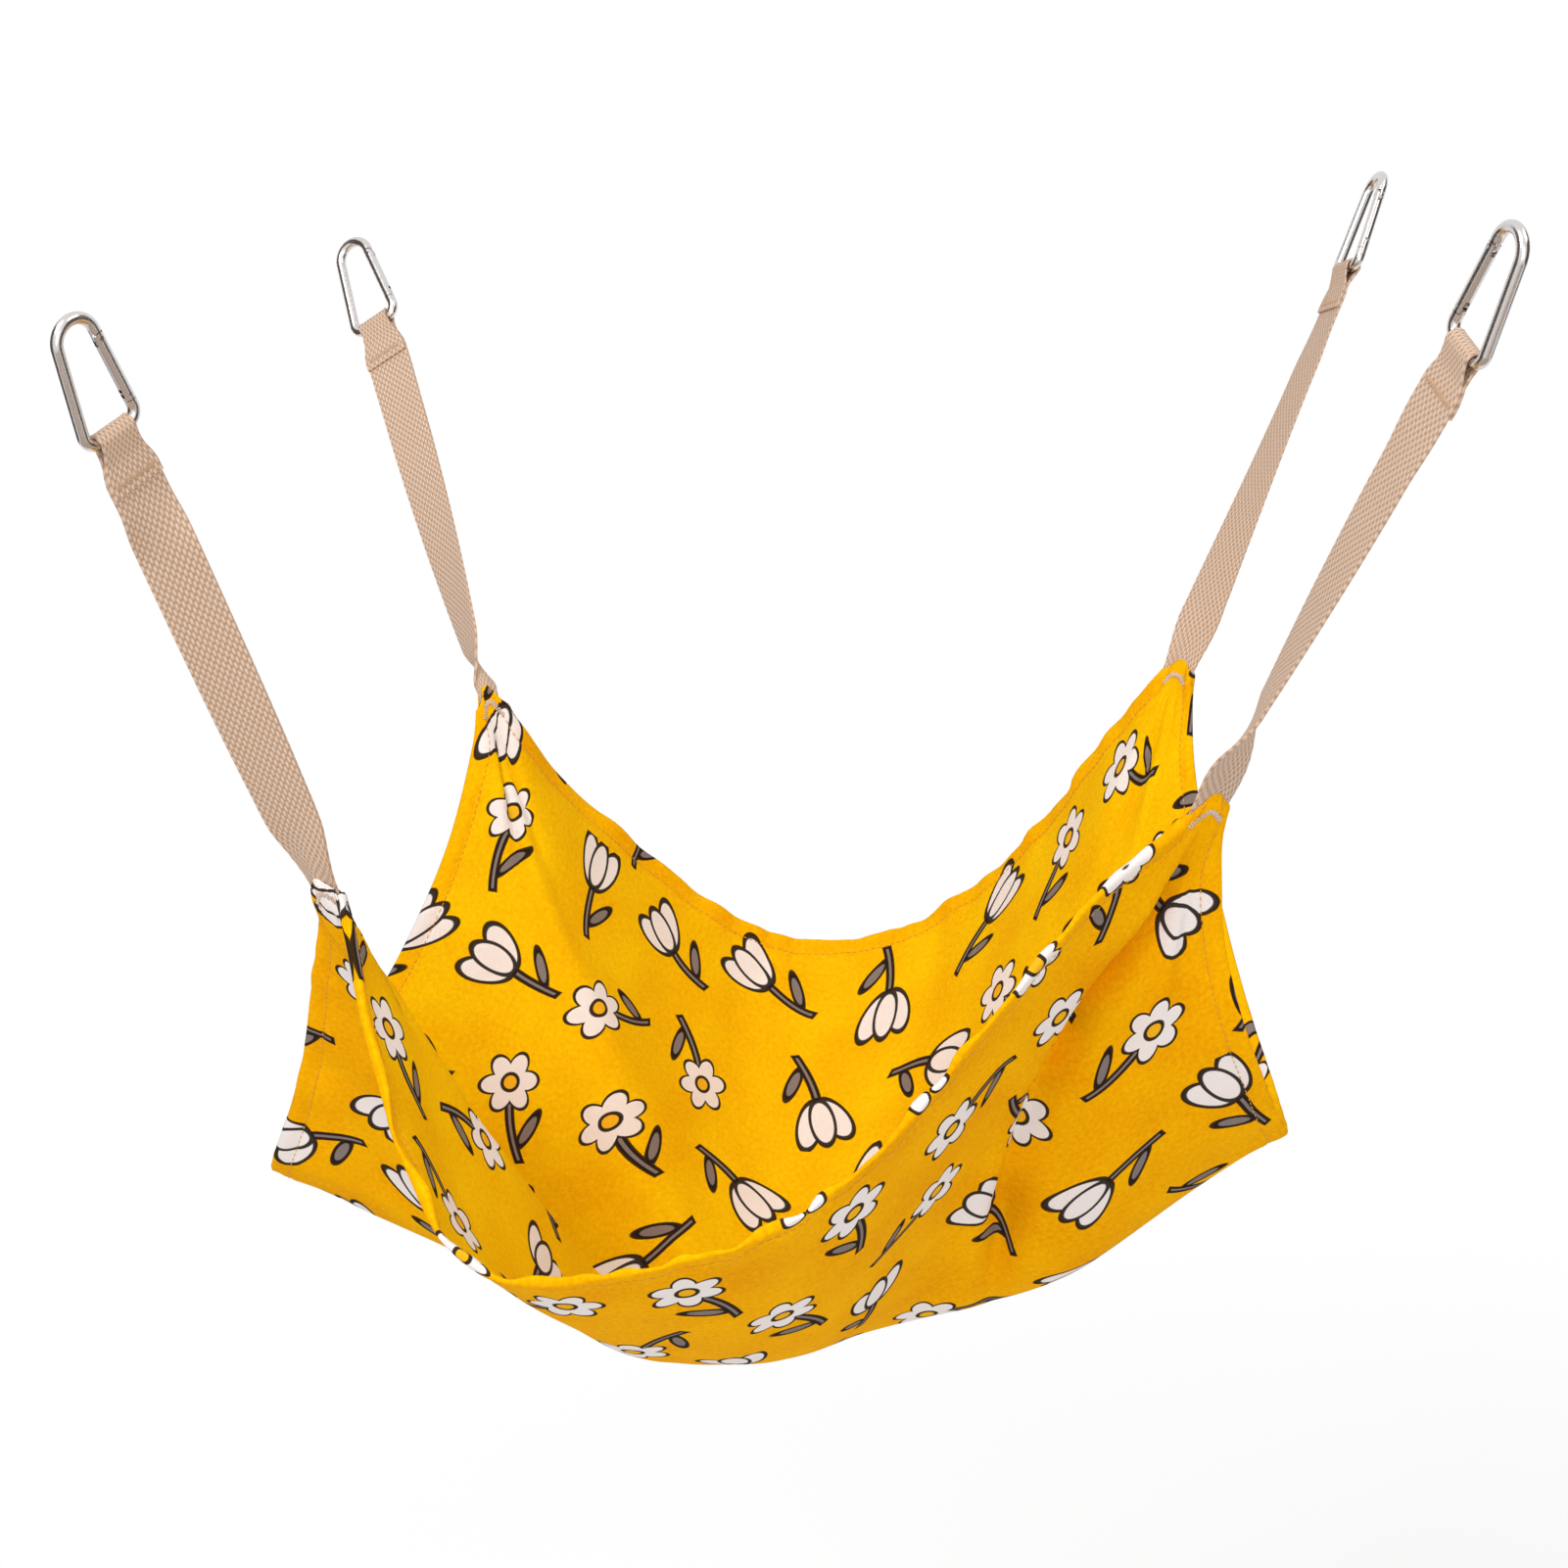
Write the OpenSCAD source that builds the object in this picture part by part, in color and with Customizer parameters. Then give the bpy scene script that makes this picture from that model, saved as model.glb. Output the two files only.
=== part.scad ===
// Hanging pet hammock: a two-layer cloth sling held at its corners by four
// webbing straps, each with a snap carabiner, in the form it takes under load.
// Millimetres, Z up. The origin is the centre of the four hanging points.
// Corners are listed front left, front right, back left, back right.
// Edges are listed front, back, left, right.

/* [Hanging] */
// Distance between the left and right hanging points
hang_length = 530; // [500:5:560]
// Distance between the front and back hanging points
hang_depth = 430; // [410:5:460]
// Slope of each strap below level
strap_slopes = [68.5, 57.5, 52, 57.5]; // [45:0.5:72]
// Heading of each strap seen from above
strap_headings = [59, 143, -61.5, -142]; // [-180:0.5:180]
// Slope of each carabiner below level
carabiner_slopes = [65, 60, 53, 61]; // [45:0.5:75]
// Heading of each carabiner seen from above
carabiner_headings = [78, 130, -57.5, -141]; // [-180:0.5:180]
// Turn of each carabiner about its own length
carabiner_turns = [114, 108, 51, 24]; // [-180:1:180]

/* [Cloth] */
// Finished length of the cloth from left to right
cloth_length = 545; // [520:5:600]
// Finished depth of the cloth from front to back
cloth_depth = 495; // [460:5:560]
// Thickness of one layer of cloth
cloth_t = 0.8; // [0.5:0.1:1.5]
// Gap between the two layers
layer_gap = 0.2; // [0.1:0.05:0.5]
// Depth of the bowl below the sewn corners
bowl_drop = 288; // [260:1:320]
// Sideways pull of the load on the bowl in X and Y
load_shift = [-19, -14]; // [-40:1:40]
// Outward lean of each hanging edge in degrees
rim_leans = [39, 27.5, 10, -7]; // [-10:0.5:50]
// Squareness of each hanging edge, where 2 is a parabola
rim_squares = [3.3, 2.25, 2.15, 2.55]; // [1.8:0.05:4]
// Shift of each edge's lowest point along the edge
rim_skews = [0.36, 0.1, -0.3, 0.1]; // [-0.4:0.01:0.4]
// Outward flare at the lip of each edge
lip_flares = [0, 0, 48, 47]; // [0:1:60]
// Drop of each cut corner's two ends below its middle, where the cloth folds over
corner_drops = [8, 8, 11, 6]; // [0:0.5:14]
// Draw of the edges beside each corner towards its fold
corner_pinches = [6, 6, 8.5, 5]; // [0:0.5:10]

/* [Webbing] */
// Width of the webbing
strap_w = 25; // [22:1:30]
// Thickness of the webbing
strap_t = 1.3; // [1:0.1:1.8]
// Length of each strap from the carabiner's bar to the cloth
strap_length = 215; // [190:1:240]
// Turn of each strap about its length just below its folded end
strap_high_turns = [128, 125, 50, 18]; // [-180:1:210]
// Turn of each strap about its length before its last turn
strap_low_turns = [154, 146, 91, -6]; // [-180:1:210]
// Rough turn of each strap at the cloth, where it follows the cut corner
strap_foot_turns = [176, 196, 180, -26]; // [-180:1:210]
// Share of each strap's length above its last turn
strap_low_shares = [0.78, 0.74, 0.88, 0.8]; // [0.7:0.01:0.9]
// Width of each strap where it is gathered at the cloth
strap_foot_ws = [17, 21, 14, 21]; // [10:0.5:25]
// Width of the webbing where it is gathered on the bar
loop_w = 16; // [11:0.5:16]
// Length of the open loop below the bar
loop_neck = 10; // [9:0.5:14]
// Length of the webbing's end that is folded back and sewn
fold_back = 13; // [10:0.5:20]
// Gap at the seam where the strap bends
seam_gap = 0.6; // [0.5:0.05:0.9]

/* [Stitching] */
// Length of the bar tack at each corner of the cloth
tack_length = 15; // [10:0.5:18]
// Width of a bar tack
tack_w = 2.6; // [1.5:0.1:4]
// Height of the thread above the cloth or webbing
thread_t = 0.4; // [0.2:0.05:0.8]
// Distance of the corner tack from the edge of the cloth
tack_inset = 8; // [6:0.5:10]
// Length of the bar tack across the folded webbing
fold_tack_length = 21; // [14:0.5:22]

/* [Carabiner] */
// Overall length of the carabiner
carabiner_length = 55; // [52:0.5:64]
// Diameter of its rod
rod_d = 5; // [4:0.1:5.5]
// Straight length of the bar that holds the webbing
bar_length = 14.6; // [14:0.1:18]
// Bend radius at the base, at the middle of the rod
base_bend = 5.5; // [5:0.1:8]
// Bend radius at the top, at the middle of the rod
top_bend = 9; // [6:0.1:10]
// Distance of the gate's rivet below the top bend
rivet_drop = 4.4; // [4:0.1:8]
// Diameter of the gate's rivet
rivet_d = 1.8; // [1.4:0.1:2.2]
// Distance of the latch pin above the base bend
latch_rise = 5.2; // [5:0.1:7]
// Diameter of the latch pin
latch_d = 1.4; // [1:0.1:1.8]
// Thickness of the tongues that the gate's two forks straddle
tongue_t = 1.6; // [1.2:0.1:2]
// Diameter of the bore for the gate's spring
spring_bore_d = 2.6; // [2.2:0.1:2.8]
// Depth of the bore for the gate's spring
spring_bore_l = 14; // [10:0.5:18]
// Diameter of the spring's wire
spring_wire_d = 0.4; // [0.3:0.05:0.5]
// Number of turns of the spring
spring_turns = 6; // [4:1:10]
// Length of the plunger between the spring and the rivet's tongue
plunger_l = 4; // [3:0.5:6]

/* [Fits] */
// Clearance between the webbing's loop and the bar
loop_clear = 0.3; // [0.2:0.05:0.5]
// Side clearance of the gate's forks on the tongues
fork_clear = 0.2; // [0.1:0.05:0.4]
// Clearance between the ends of the gate and the body
gate_gap = 0.35; // [0.3:0.05:0.6]
// Radial clearance of the rivet in the gate
rivet_clear = 0.05; // [0.02:0.01:0.1]
// Clearance of the latch pin in its notch
notch_clear = 0.2; // [0.15:0.05:0.4]
// Clearance of sewn or seated pieces
seat_clear = 0.05; // [0.02:0.01:0.1]

/* [Hidden] */
$fn = 48;
CORNERS = ["front_left", "front_right", "back_left", "back_right"];
PIECES = ["strap", "sewn_end", "corner_tack", "fold_tack", "carabiner", "gate",
    "gate_rivet", "latch_pin", "gate_spring", "spring_plunger"];

sign_x = [-1, 1, -1, 1];
sign_y = [-1, -1, 1, 1];
rod_r = rod_d / 2;

// Directions and places of the straps, from the hanging points down to the cloth.
function unit(v) = v / norm(v);
function ray(slope, heading) =
    [cos(slope) * cos(heading), cos(slope) * sin(heading), -sin(slope)];
function level_side(d) = unit(cross([0, 0, 1], d));
function turned(d, angle) =
    level_side(d) * cos(angle) + cross(d, level_side(d)) * sin(angle);
function turn_of(v, d) = atan2(v * cross(d, level_side(d)), v * level_side(d));

eye_height = carabiner_length - rod_d - rod_r;
hooks = [for (i = [0:3]) [sign_x[i] * hang_length / 2, sign_y[i] * hang_depth / 2, 0]];
carabiner_dirs = [for (i = [0:3]) ray(carabiner_slopes[i], carabiner_headings[i])];
strap_dirs = [for (i = [0:3]) ray(strap_slopes[i], strap_headings[i])];
bars = [for (i = [0:3]) turned(carabiner_dirs[i], carabiner_turns[i])];
bases = [for (i = [0:3]) hooks[i] + eye_height * carabiner_dirs[i]];
strap_ends = [for (i = [0:3]) bases[i] + strap_length * strap_dirs[i]];

// The sling's form. It is set on a flat cloth with coordinates u and v from -1 to 1.
// Ridges of tension run from the corners into the bowl, and the edges hang between
// them in curves whose depth follows from the cloth's size.
ridge_power = 1.9;
sag_power = 1.56;
lean_power = 2.1;
flare_power = 6;
crease_power = 1.12;
rim_fullness = 1.1;
// Share of the half cloth over which the round bowl turns into ridges.
bowl_share = 0.75;
// How fast the cloth falls beside a ridge, and where along the edges that begins and ends.
fold_rate = 1.5;
fold_from = 0.5;
fold_to = 0.92;

edge_spans = [
    norm(strap_ends[1] - strap_ends[0]), norm(strap_ends[3] - strap_ends[2]),
    norm(strap_ends[2] - strap_ends[0]), norm(strap_ends[3] - strap_ends[1])];
edge_lengths = [cloth_length, cloth_length, cloth_depth, cloth_depth];
edge_sags = [for (k = [0:3])
    sqrt(max(1, pow(edge_lengths[k], 2) - pow(edge_spans[k], 2))) / 2 / rim_fullness];
edge_normals = [[0, -1, 0], [0, 1, 0], [-1, 0, 0], [1, 0, 0]];

// Share of the half cloth that is cut off at each corner, so that the cut edge is as
// wide as the webbing.
half_diagonal = norm([edge_spans[0] + edge_spans[1], edge_spans[2] + edge_spans[3]]) / 4;
cut = strap_w / half_diagonal;
cut_mid = 1 - cut / 2;
bowl_z = (strap_ends[0].z + strap_ends[1].z + strap_ends[2].z + strap_ends[3].z) / 4
    - bowl_drop;

function mix(a, b, t) = a + (b - a) * t;
function smooth(t) = t <= 0 ? 0 : t >= 1 ? 1 : t * t * (3 - 2 * t);
function on_corners(u, v) = mix(
    mix(strap_ends[0], strap_ends[1], (1 + u / cut_mid) / 2),
    mix(strap_ends[2], strap_ends[3], (1 + u / cut_mid) / 2),
    (1 + v / cut_mid) / 2);
function edge_of(u, v) = abs(v) >= abs(u) ? (v < 0 ? 0 : 1) : (u < 0 ? 2 : 3);
function between_ridges(t, k) =
    let (inner = min(1, max(-1, t / (1 - cut))),
         shifted = inner + rim_skews[k] * (1 - inner * inner))
    pow(max(0, 1 - pow(abs(shifted), rim_squares[k])), crease_power);
// Share of a corner's drop and draw: none on the ridge, all at the ends of the cut.
function corner_fold(u, v) =
    (1 - exp(-fold_rate * abs(abs(u) - abs(v)) / cut)) / (1 - exp(-fold_rate))
        * smooth((min(abs(u), abs(v)) - fold_from) / (fold_to - fold_from));
function cloth_point(u, v) =
    let (k = edge_of(u, v),
         r = max(abs(u), abs(v), 0.000001),
         t = (k < 2 ? u : v) / r,
         rho = r * (1 + max(abs(t), 1 - cut)) / 2 / cut_mid,
         hang = between_ridges(t, k),
         fold = corner_fold(u, v),
         corner = (u < 0 ? 0 : 1) + (v < 0 ? 0 : 2),
         flat = on_corners(u, v),
         out = edge_sags[k] * sin(rim_leans[k]) * hang * pow(r, lean_power)
             + lip_flares[k] * pow(hang, 2) * pow(r, flare_power)
             - corner_pinches[corner] * fold,
         sag = edge_sags[k] * cos(rim_leans[k]) * hang * pow(r, sag_power)
             + corner_drops[corner] * fold,
         height = flat.z - bowl_z,
         bowl_rise = height * pow(norm([u, v]) / sqrt(2), ridge_power),
         ridge_rise = height * pow(rho, ridge_power) - sag,
         shift = 1 - rho * rho)
    [flat.x + edge_normals[k].x * out + load_shift.x * shift,
     flat.y + edge_normals[k].y * out + load_shift.y * shift,
     bowl_z + mix(bowl_rise, ridge_rise, smooth(r / bowl_share))];
function cloth_normal(u, v, e = 0.01) = unit(cross(
    cloth_point(u + e, v) - cloth_point(u - e, v),
    cloth_point(u, v + e) - cloth_point(u, v - e)));

// The cloth's grid, with one row as wide as the cut corner along each edge.
cells = 24;
function line(i) = i == 0 ? -1 : i == cells ? 1
    : mix(-(1 - cut), 1 - cut, (i - 1) / (cells - 2));
function is_tip(i, j) = (i == 0 || i == cells) && (j == 0 || j == cells);
function grid_uv(i, j) = is_tip(i, j)
    ? [sign(line(i)) * cut_mid, sign(line(j)) * cut_mid]
    : [line(i), line(j)];
function is_corner(i, j) =
    (i <= 1 || i >= cells - 1) && (j <= 1 || j >= cells - 1);
corner_room = strap_t / 2 + seat_clear;
function room(i, j) = is_corner(i, j) ? corner_room : layer_gap / 2;
grid_points = [for (i = [0:cells]) [for (j = [0:cells])
    cloth_point(grid_uv(i, j)[0], grid_uv(i, j)[1])]];
grid_normals = [for (i = [0:cells]) [for (j = [0:cells])
    cloth_normal(grid_uv(i, j)[0], grid_uv(i, j)[1])]];
function lifted(i, j, height) = grid_points[i][j] + grid_normals[i][j] * height;

// Grid places of one corner: its cut edge runs from a over the tip to b, and c is the
// inner point.
function far_line(s) = s < 0 ? 0 : cells;
function near_line(s) = s < 0 ? 1 : cells - 1;
function corner_a(i) = [near_line(sign_x[i]), far_line(sign_y[i])];
function corner_b(i) = [far_line(sign_x[i]), near_line(sign_y[i])];
function corner_c(i) = [near_line(sign_x[i]), near_line(sign_y[i])];
function corner_tip(i) = [far_line(sign_x[i]), far_line(sign_y[i])];
function at(g, height = 0) = lifted(g[0], g[1], height);
function cut_dir(i) = unit(at(corner_a(i)) - at(corner_b(i)));

module cloth_layer(side) {
    n = cells + 1;
    points = concat(
        [for (i = [0:cells]) for (j = [0:cells])
            lifted(i, j, side * (room(i, j) + (side > 0 ? cloth_t : 0)))],
        [for (i = [0:cells]) for (j = [0:cells])
            lifted(i, j, side * (room(i, j) + (side > 0 ? 0 : cloth_t)))]);
    below = n * n;
    function id(i, j) = i * n + j;
    // Each cell is split along the line that runs towards the middle of the cloth.
    function halves(i, j) = (i < cells / 2) == (j < cells / 2)
        ? [[id(i, j), id(i + 1, j + 1), id(i + 1, j)], [id(i, j), id(i, j + 1), id(i + 1, j + 1)]]
        : [[id(i, j), id(i, j + 1), id(i + 1, j)], [id(i, j + 1), id(i + 1, j + 1), id(i + 1, j)]];
    function wall(a, b) = [[a, b, b + below], [a, b + below, a + below]];
    top = [for (i = [0:cells - 1]) for (j = [0:cells - 1]) for (f = halves(i, j)) f];
    under = [for (f = top) [f[2] + below, f[1] + below, f[0] + below]];
    walls = [for (k = [0:cells - 1]) for (f = concat(
        wall(id(k, 0), id(k + 1, 0)), wall(id(k + 1, cells), id(k, cells)),
        wall(id(0, k + 1), id(0, k)), wall(id(cells, k), id(cells, k + 1)))) f];
    polyhedron(points, concat(top, under, walls));
}

// A strip of webbing swept along a path, with a width direction at each station.
module strip(path, sides, widths) {
    n = len(path);
    function along(k) = unit(path[min(k + 1, n - 1)] - path[max(k - 1, 0)]);
    function over(k) = unit(cross(along(k), sides[k]));
    function ring(k) = [for (s = [[-1, -1], [1, -1], [1, 1], [-1, 1]])
        path[k] + sides[k] * s[0] * widths[k] / 2 + over(k) * s[1] * strap_t / 2];
    points = [for (k = [0:n - 1]) for (p = ring(k)) p];
    sleeve = [for (k = [0:n - 2]) for (s = [0:3]) for (f = [
        [4 * k + s, 4 * k + (s + 1) % 4, 4 * k + 4 + s],
        [4 * k + (s + 1) % 4, 4 * k + 4 + (s + 1) % 4, 4 * k + 4 + s]]) f];
    last = 4 * (n - 1);
    ends = [[0, 3, 1], [1, 3, 2], [last, last + 1, last + 3], [last + 1, last + 2, last + 3]];
    polyhedron(points, concat(sleeve, ends));
}

// The strap's own frame at the carabiner: down along the strap, across it and along the bar.
fold_gap = seat_clear;
fold_half = (strap_t + fold_gap) / 2;
loop_r = rod_r + loop_clear + strap_t / 2;
neck_d = norm([loop_neck, fold_half]);
wrap_start = atan2(fold_half, loop_neck) + acos(loop_r / neck_d);
wrap_steps = 10;
twist_steps = 34;
high_share = 0.15;
gather_share = 0.86;
function down(i) = unit(strap_dirs[i] - bars[i] * (strap_dirs[i] * bars[i]));
function across(i) = cross(bars[i], down(i));
function in_loop(i, along, over) = bases[i] + down(i) * along + across(i) * over;
function loop_width(along) =
    mix(loop_w, strap_w, smooth((along - rod_r) / (loop_neck + fold_back / 2)));

// Path points above the twist, in the strap's frame, from the sewn part round the bar.
function wrap_angle(k) = mix(wrap_start, 360 - wrap_start, k / wrap_steps);
loop_path = concat(
    [[loop_neck + fold_back, fold_half], [loop_neck + fold_back / 2, fold_half],
     [loop_neck, fold_half]],
    [for (k = [0:wrap_steps]) loop_r * [cos(wrap_angle(k)), sin(wrap_angle(k))]],
    [[loop_neck, -fold_half], [loop_neck + fold_back / 2, -fold_half],
     [loop_neck + fold_back, -fold_half]]);

// The straight part below the fold turns about its length to meet the cut corner.
twist_from = loop_neck + fold_back + strap_w / 4;
function twist_start(i) = in_loop(i, twist_from, fold_half);
function strap_foot(i) = strap_ends[i] - strap_dirs[i] * seam_gap;
function twist_dir(i) = unit(strap_foot(i) - twist_start(i));
function nearest_half_turn(a, b) = b + (((a - b + 90) % 180 + 180) % 180) - 90;
function near_foot(i, t) = smooth((t - strap_low_shares[i]) / (1 - strap_low_shares[i]));
function twist_angle(i, t) =
    let (d = twist_dir(i), high = strap_high_turns[i], low = strap_low_turns[i],
         top = nearest_half_turn(turn_of(bars[i], d), high),
         end = nearest_half_turn(turn_of(cut_dir(i), d), strap_foot_turns[i]))
    t < high_share ? mix(top, high, smooth(t / high_share))
        : t < strap_low_shares[i]
        ? mix(high, low, pow((t - high_share) / (strap_low_shares[i] - high_share), 1.5))
        : mix(low, end, near_foot(i, t));
function twist_w(i, t) =
    mix(strap_w, strap_foot_ws[i], smooth((t - gather_share) / (1 - gather_share)));

module strap(i) {
    shares = [for (k = [0:twist_steps]) 1 - k / twist_steps];
    path = concat(
        [for (t = shares) mix(twist_start(i), strap_foot(i), t)],
        [for (p = loop_path) in_loop(i, p[0], p[1])]);
    sides = concat(
        [for (t = shares) turned(twist_dir(i), twist_angle(i, t))],
        [for (p = loop_path) bars[i]]);
    widths = concat([for (t = shares) twist_w(i, t)], [for (p = loop_path) loop_width(p[0])]);
    strip(path, sides, widths);
}

// The strap's end inside the corner, folded over the ridge and cut to a point between the
// two layers.
module sewn_end(i) {
    rim = [corner_a(i), corner_tip(i), corner_b(i), corner_c(i)];
    points = [for (s = [1, -1]) for (g = rim) at(g, s * strap_t / 2)];
    faces = concat([[0, 1, 3], [1, 2, 3], [7, 5, 4], [7, 6, 5]],
        [for (k = [0:3]) for (f = [
            [k, k + 4, (k + 1) % 4], [(k + 1) % 4, k + 4, (k + 1) % 4 + 4]]) f]);
    turned_over = sign_x[i] * sign_y[i] < 0;
    polyhedron(points, turned_over ? faces : [for (f = faces) [f[2], f[1], f[0]]]);
}

// Puts children in a frame whose axes are x, y and z with its origin at p.
module placed(p, x, y, z) {
    multmatrix([[x.x, y.x, z.x, p.x], [x.y, y.y, z.y, p.y], [x.z, y.z, z.z, p.z],
        [0, 0, 0, 1]]) children();
}

module tack(length) {
    translate([-length / 2, -tack_w / 2, 0]) cube([length, tack_w, thread_t]);
}

// Thread across the corner, bent over the ridge so that it lies on both slopes of the inner
// layer. Its profile is drawn across the ridge, from one end over the middle to the other.
module corner_tack(i) {
    height = corner_room + cloth_t + seat_clear;
    tip = at(corner_tip(i), height);
    ridge = unit(at(corner_c(i), height) - tip);
    above = at(corner_tip(i), height + 1) - tip;
    function wing(g) = let (slope = at(g, height) - tip) unit(slope - ridge * (slope * ridge));
    function face(x) = let (n = cross(ridge, x)) n * sign(n * above);
    wing_a = wing(corner_a(i));
    wing_b = wing(corner_b(i));
    face_a = face(wing_a);
    face_b = face(wing_b);
    crest = unit(face_a + face_b);
    ends = [wing_a * tack_length / 2, [0, 0, 0], wing_b * tack_length / 2];
    rises = [face_a * thread_t, crest * thread_t / (crest * face_a), face_b * thread_t];
    profile = concat(ends, [for (k = [2, 1, 0]) ends[k] + rises[k]]);
    points = [for (s = [-1, 1]) for (p = profile) tip + ridge * (tack_inset + s * tack_w / 2) + p];
    faces = concat([[0, 1, 4, 5], [1, 2, 3, 4], [11, 10, 7, 6], [10, 9, 8, 7]],
        [for (k = [0:5]) [(k + 1) % 6, k, k + 6, (k + 1) % 6 + 6]]);
    right_handed = cross(wing_a - wing_b, ridge) * crest > 0;
    polyhedron(points, right_handed ? faces : [for (f = faces) [for (k = [3:-1:0]) f[k]]]);
}

// Thread across the folded-back end of the webbing.
module fold_tack(i) {
    placed(in_loop(i, loop_neck + fold_back * 2 / 3, -fold_half - strap_t / 2 - seat_clear),
        bars[i], down(i), -across(i)) tack(fold_tack_length);
}

// The carabiner is drawn in X and Z, with its bar along X at the origin and its top
// bend up. Its right side is the line of the gate.
top_z = eye_height + rod_r - top_bend;
side_v = [bar_length / 2, top_z - base_bend];
side_lean = atan2(side_v[0], side_v[1]) + asin((base_bend - top_bend) / norm(side_v));
side_length = sqrt(pow(norm(side_v), 2) - pow(base_bend - top_bend, 2));
rivet_s = side_length - rivet_drop;
tongue_r = rod_r - gate_gap;
hinge_end = rivet_s + rod_r + gate_gap;
slot_t = tongue_t + 2 * fork_clear;
hinge_slot = rivet_s - rod_r - gate_gap;
nose_s = latch_rise - latch_d - rod_r / 2;
gate_s = nose_s + gate_gap;
nose_tip = latch_rise + latch_d + notch_clear;
latch_slot = nose_tip + rod_r * 0.6;

module in_frame(i) {
    z = -carabiner_dirs[i];
    placed(bases[i], bars[i], cross(z, bars[i]), z) children();
}

module on_gate_line() {
    translate([bar_length / 2 + base_bend * cos(side_lean), 0, base_bend * (1 + sin(side_lean))])
        rotate([0, -side_lean, 0]) children();
}

module rod(length) { cylinder(d = rod_d, h = length); }

// A straight run whose ends lap a little into the bends that it meets.
bend_lap = 0.2;
bend_step = 0.01;
module run(length, lap_from, lap_to) {
    translate([0, 0, -lap_from]) rod(length + lap_from + lap_to);
}

module bend(x, z, radius, from, to) {
    translate([x, 0, z]) rotate([90, 0, 0]) rotate([0, 0, from])
        rotate_extrude(angle = to - from) translate([radius, 0]) circle(r = rod_r - bend_step);
}

module across_pin(s, d, length) {
    translate([0, length / 2, s]) rotate([90, 0, 0]) cylinder(d = d, h = length);
}

module slab(from, to, thickness) {
    translate([-rod_d, -thickness / 2, from]) cube([2 * rod_d, thickness, to - from]);
}

// A flat tongue left from the rod, rounded about a pin at s.
module tongue(from, to) {
    intersection() {
        translate([0, 0, from]) rod(to - from);
        slab(from, to, tongue_t);
    }
}

module carabiner_body() {
    translate([-bar_length / 2, 0, 0]) rotate([0, 90, 0]) run(bar_length, bend_lap, bend_lap);
    bend(-bar_length / 2, base_bend, base_bend, 180 - side_lean, 270);
    bend(bar_length / 2, base_bend, base_bend, -90, side_lean);
    bend(0, top_z, top_bend, side_lean, 180 - side_lean);
    mirror([1, 0, 0]) on_gate_line() run(side_length, bend_lap, bend_lap);
    on_gate_line() {
        run(nose_s, bend_lap, 0);
        translate([0, 0, hinge_end]) run(side_length - hinge_end, 0, bend_lap);
        difference() {
            tongue(nose_s, nose_tip);
            across_pin(latch_rise, latch_d + 2 * notch_clear, rod_d);
            translate([-rod_d, -rod_d / 2, latch_rise - latch_d / 2 - notch_clear])
                cube([rod_d, rod_d, latch_d + 2 * notch_clear]);
        }
        difference() {
            union() {
                tongue(rivet_s, hinge_end);
                intersection() {
                    tongue(rivet_s - tongue_r, rivet_s);
                    across_pin(rivet_s, 2 * tongue_r, rod_d);
                }
            }
            across_pin(rivet_s, rivet_d, rod_d);
        }
    }
}

module gate_body() {
    on_gate_line() difference() {
        union() {
            translate([0, 0, gate_s]) rod(rivet_s - gate_s);
            intersection() {
                translate([0, 0, rivet_s]) rod(rod_r);
                across_pin(rivet_s, rod_d, rod_d);
            }
        }
        slab(hinge_slot, rivet_s + rod_d, slot_t);
        slab(gate_s - rod_r, latch_slot, slot_t);
        across_pin(rivet_s, rivet_d + 2 * rivet_clear, 2 * rod_d);
        across_pin(latch_rise, latch_d, 2 * rod_d);
        translate([0, 0, hinge_slot - spring_bore_l]) cylinder(d = spring_bore_d, h = spring_bore_l + 1);
    }
}

plunger_end = rivet_s - tongue_r - 2 * seat_clear;
plunger_d = spring_bore_d - 4 * seat_clear;
spring_from = hinge_slot - spring_bore_l + seat_clear + spring_wire_d / 2;
spring_to = plunger_end - plunger_l - seat_clear - spring_wire_d / 2;

// A coil of square wire that lies in the gate's bore.
module coil() {
    steps = 10;
    n = spring_turns * steps;
    mid_r = plunger_d / 2 - spring_wire_d / 2;
    h = spring_wire_d / 2;
    function ring(k) = let (angle = 360 * k / steps, z = mix(spring_from, spring_to, k / n))
        [for (s = [[-h, -h], [h, -h], [h, h], [-h, h]])
            [(mid_r + s[0]) * cos(angle), (mid_r + s[0]) * sin(angle), z + s[1]]];
    points = [for (k = [0:n]) for (p = ring(k)) p];
    sleeve = [for (k = [0:n - 1]) for (s = [0:3]) for (f = [
        [4 * k + s, 4 * k + 4 + s, 4 * k + (s + 1) % 4],
        [4 * k + (s + 1) % 4, 4 * k + 4 + s, 4 * k + 4 + (s + 1) % 4]]) f];
    ends = [[0, 1, 3], [1, 2, 3], [4 * n, 4 * n + 3, 4 * n + 1], [4 * n + 1, 4 * n + 3, 4 * n + 2]];
    polyhedron(points, concat(sleeve, ends));
}

module outer_panel() { color("goldenrod") cloth_layer(-1); }
module inner_panel() { color("gold") cloth_layer(1); }
module carabiner(i) { in_frame(i) carabiner_body(); }
module gate(i) { in_frame(i) gate_body(); }
module gate_rivet(i) { in_frame(i) on_gate_line() across_pin(rivet_s, rivet_d, rod_d); }
module latch_pin(i) { in_frame(i) on_gate_line() across_pin(latch_rise, latch_d, rod_d - 2 * seat_clear); }
module gate_spring(i) { in_frame(i) on_gate_line() coil(); }
module spring_plunger(i) {
    in_frame(i) on_gate_line()
        translate([0, 0, plunger_end - plunger_l]) cylinder(d = plunger_d, h = plunger_l);
}

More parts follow.
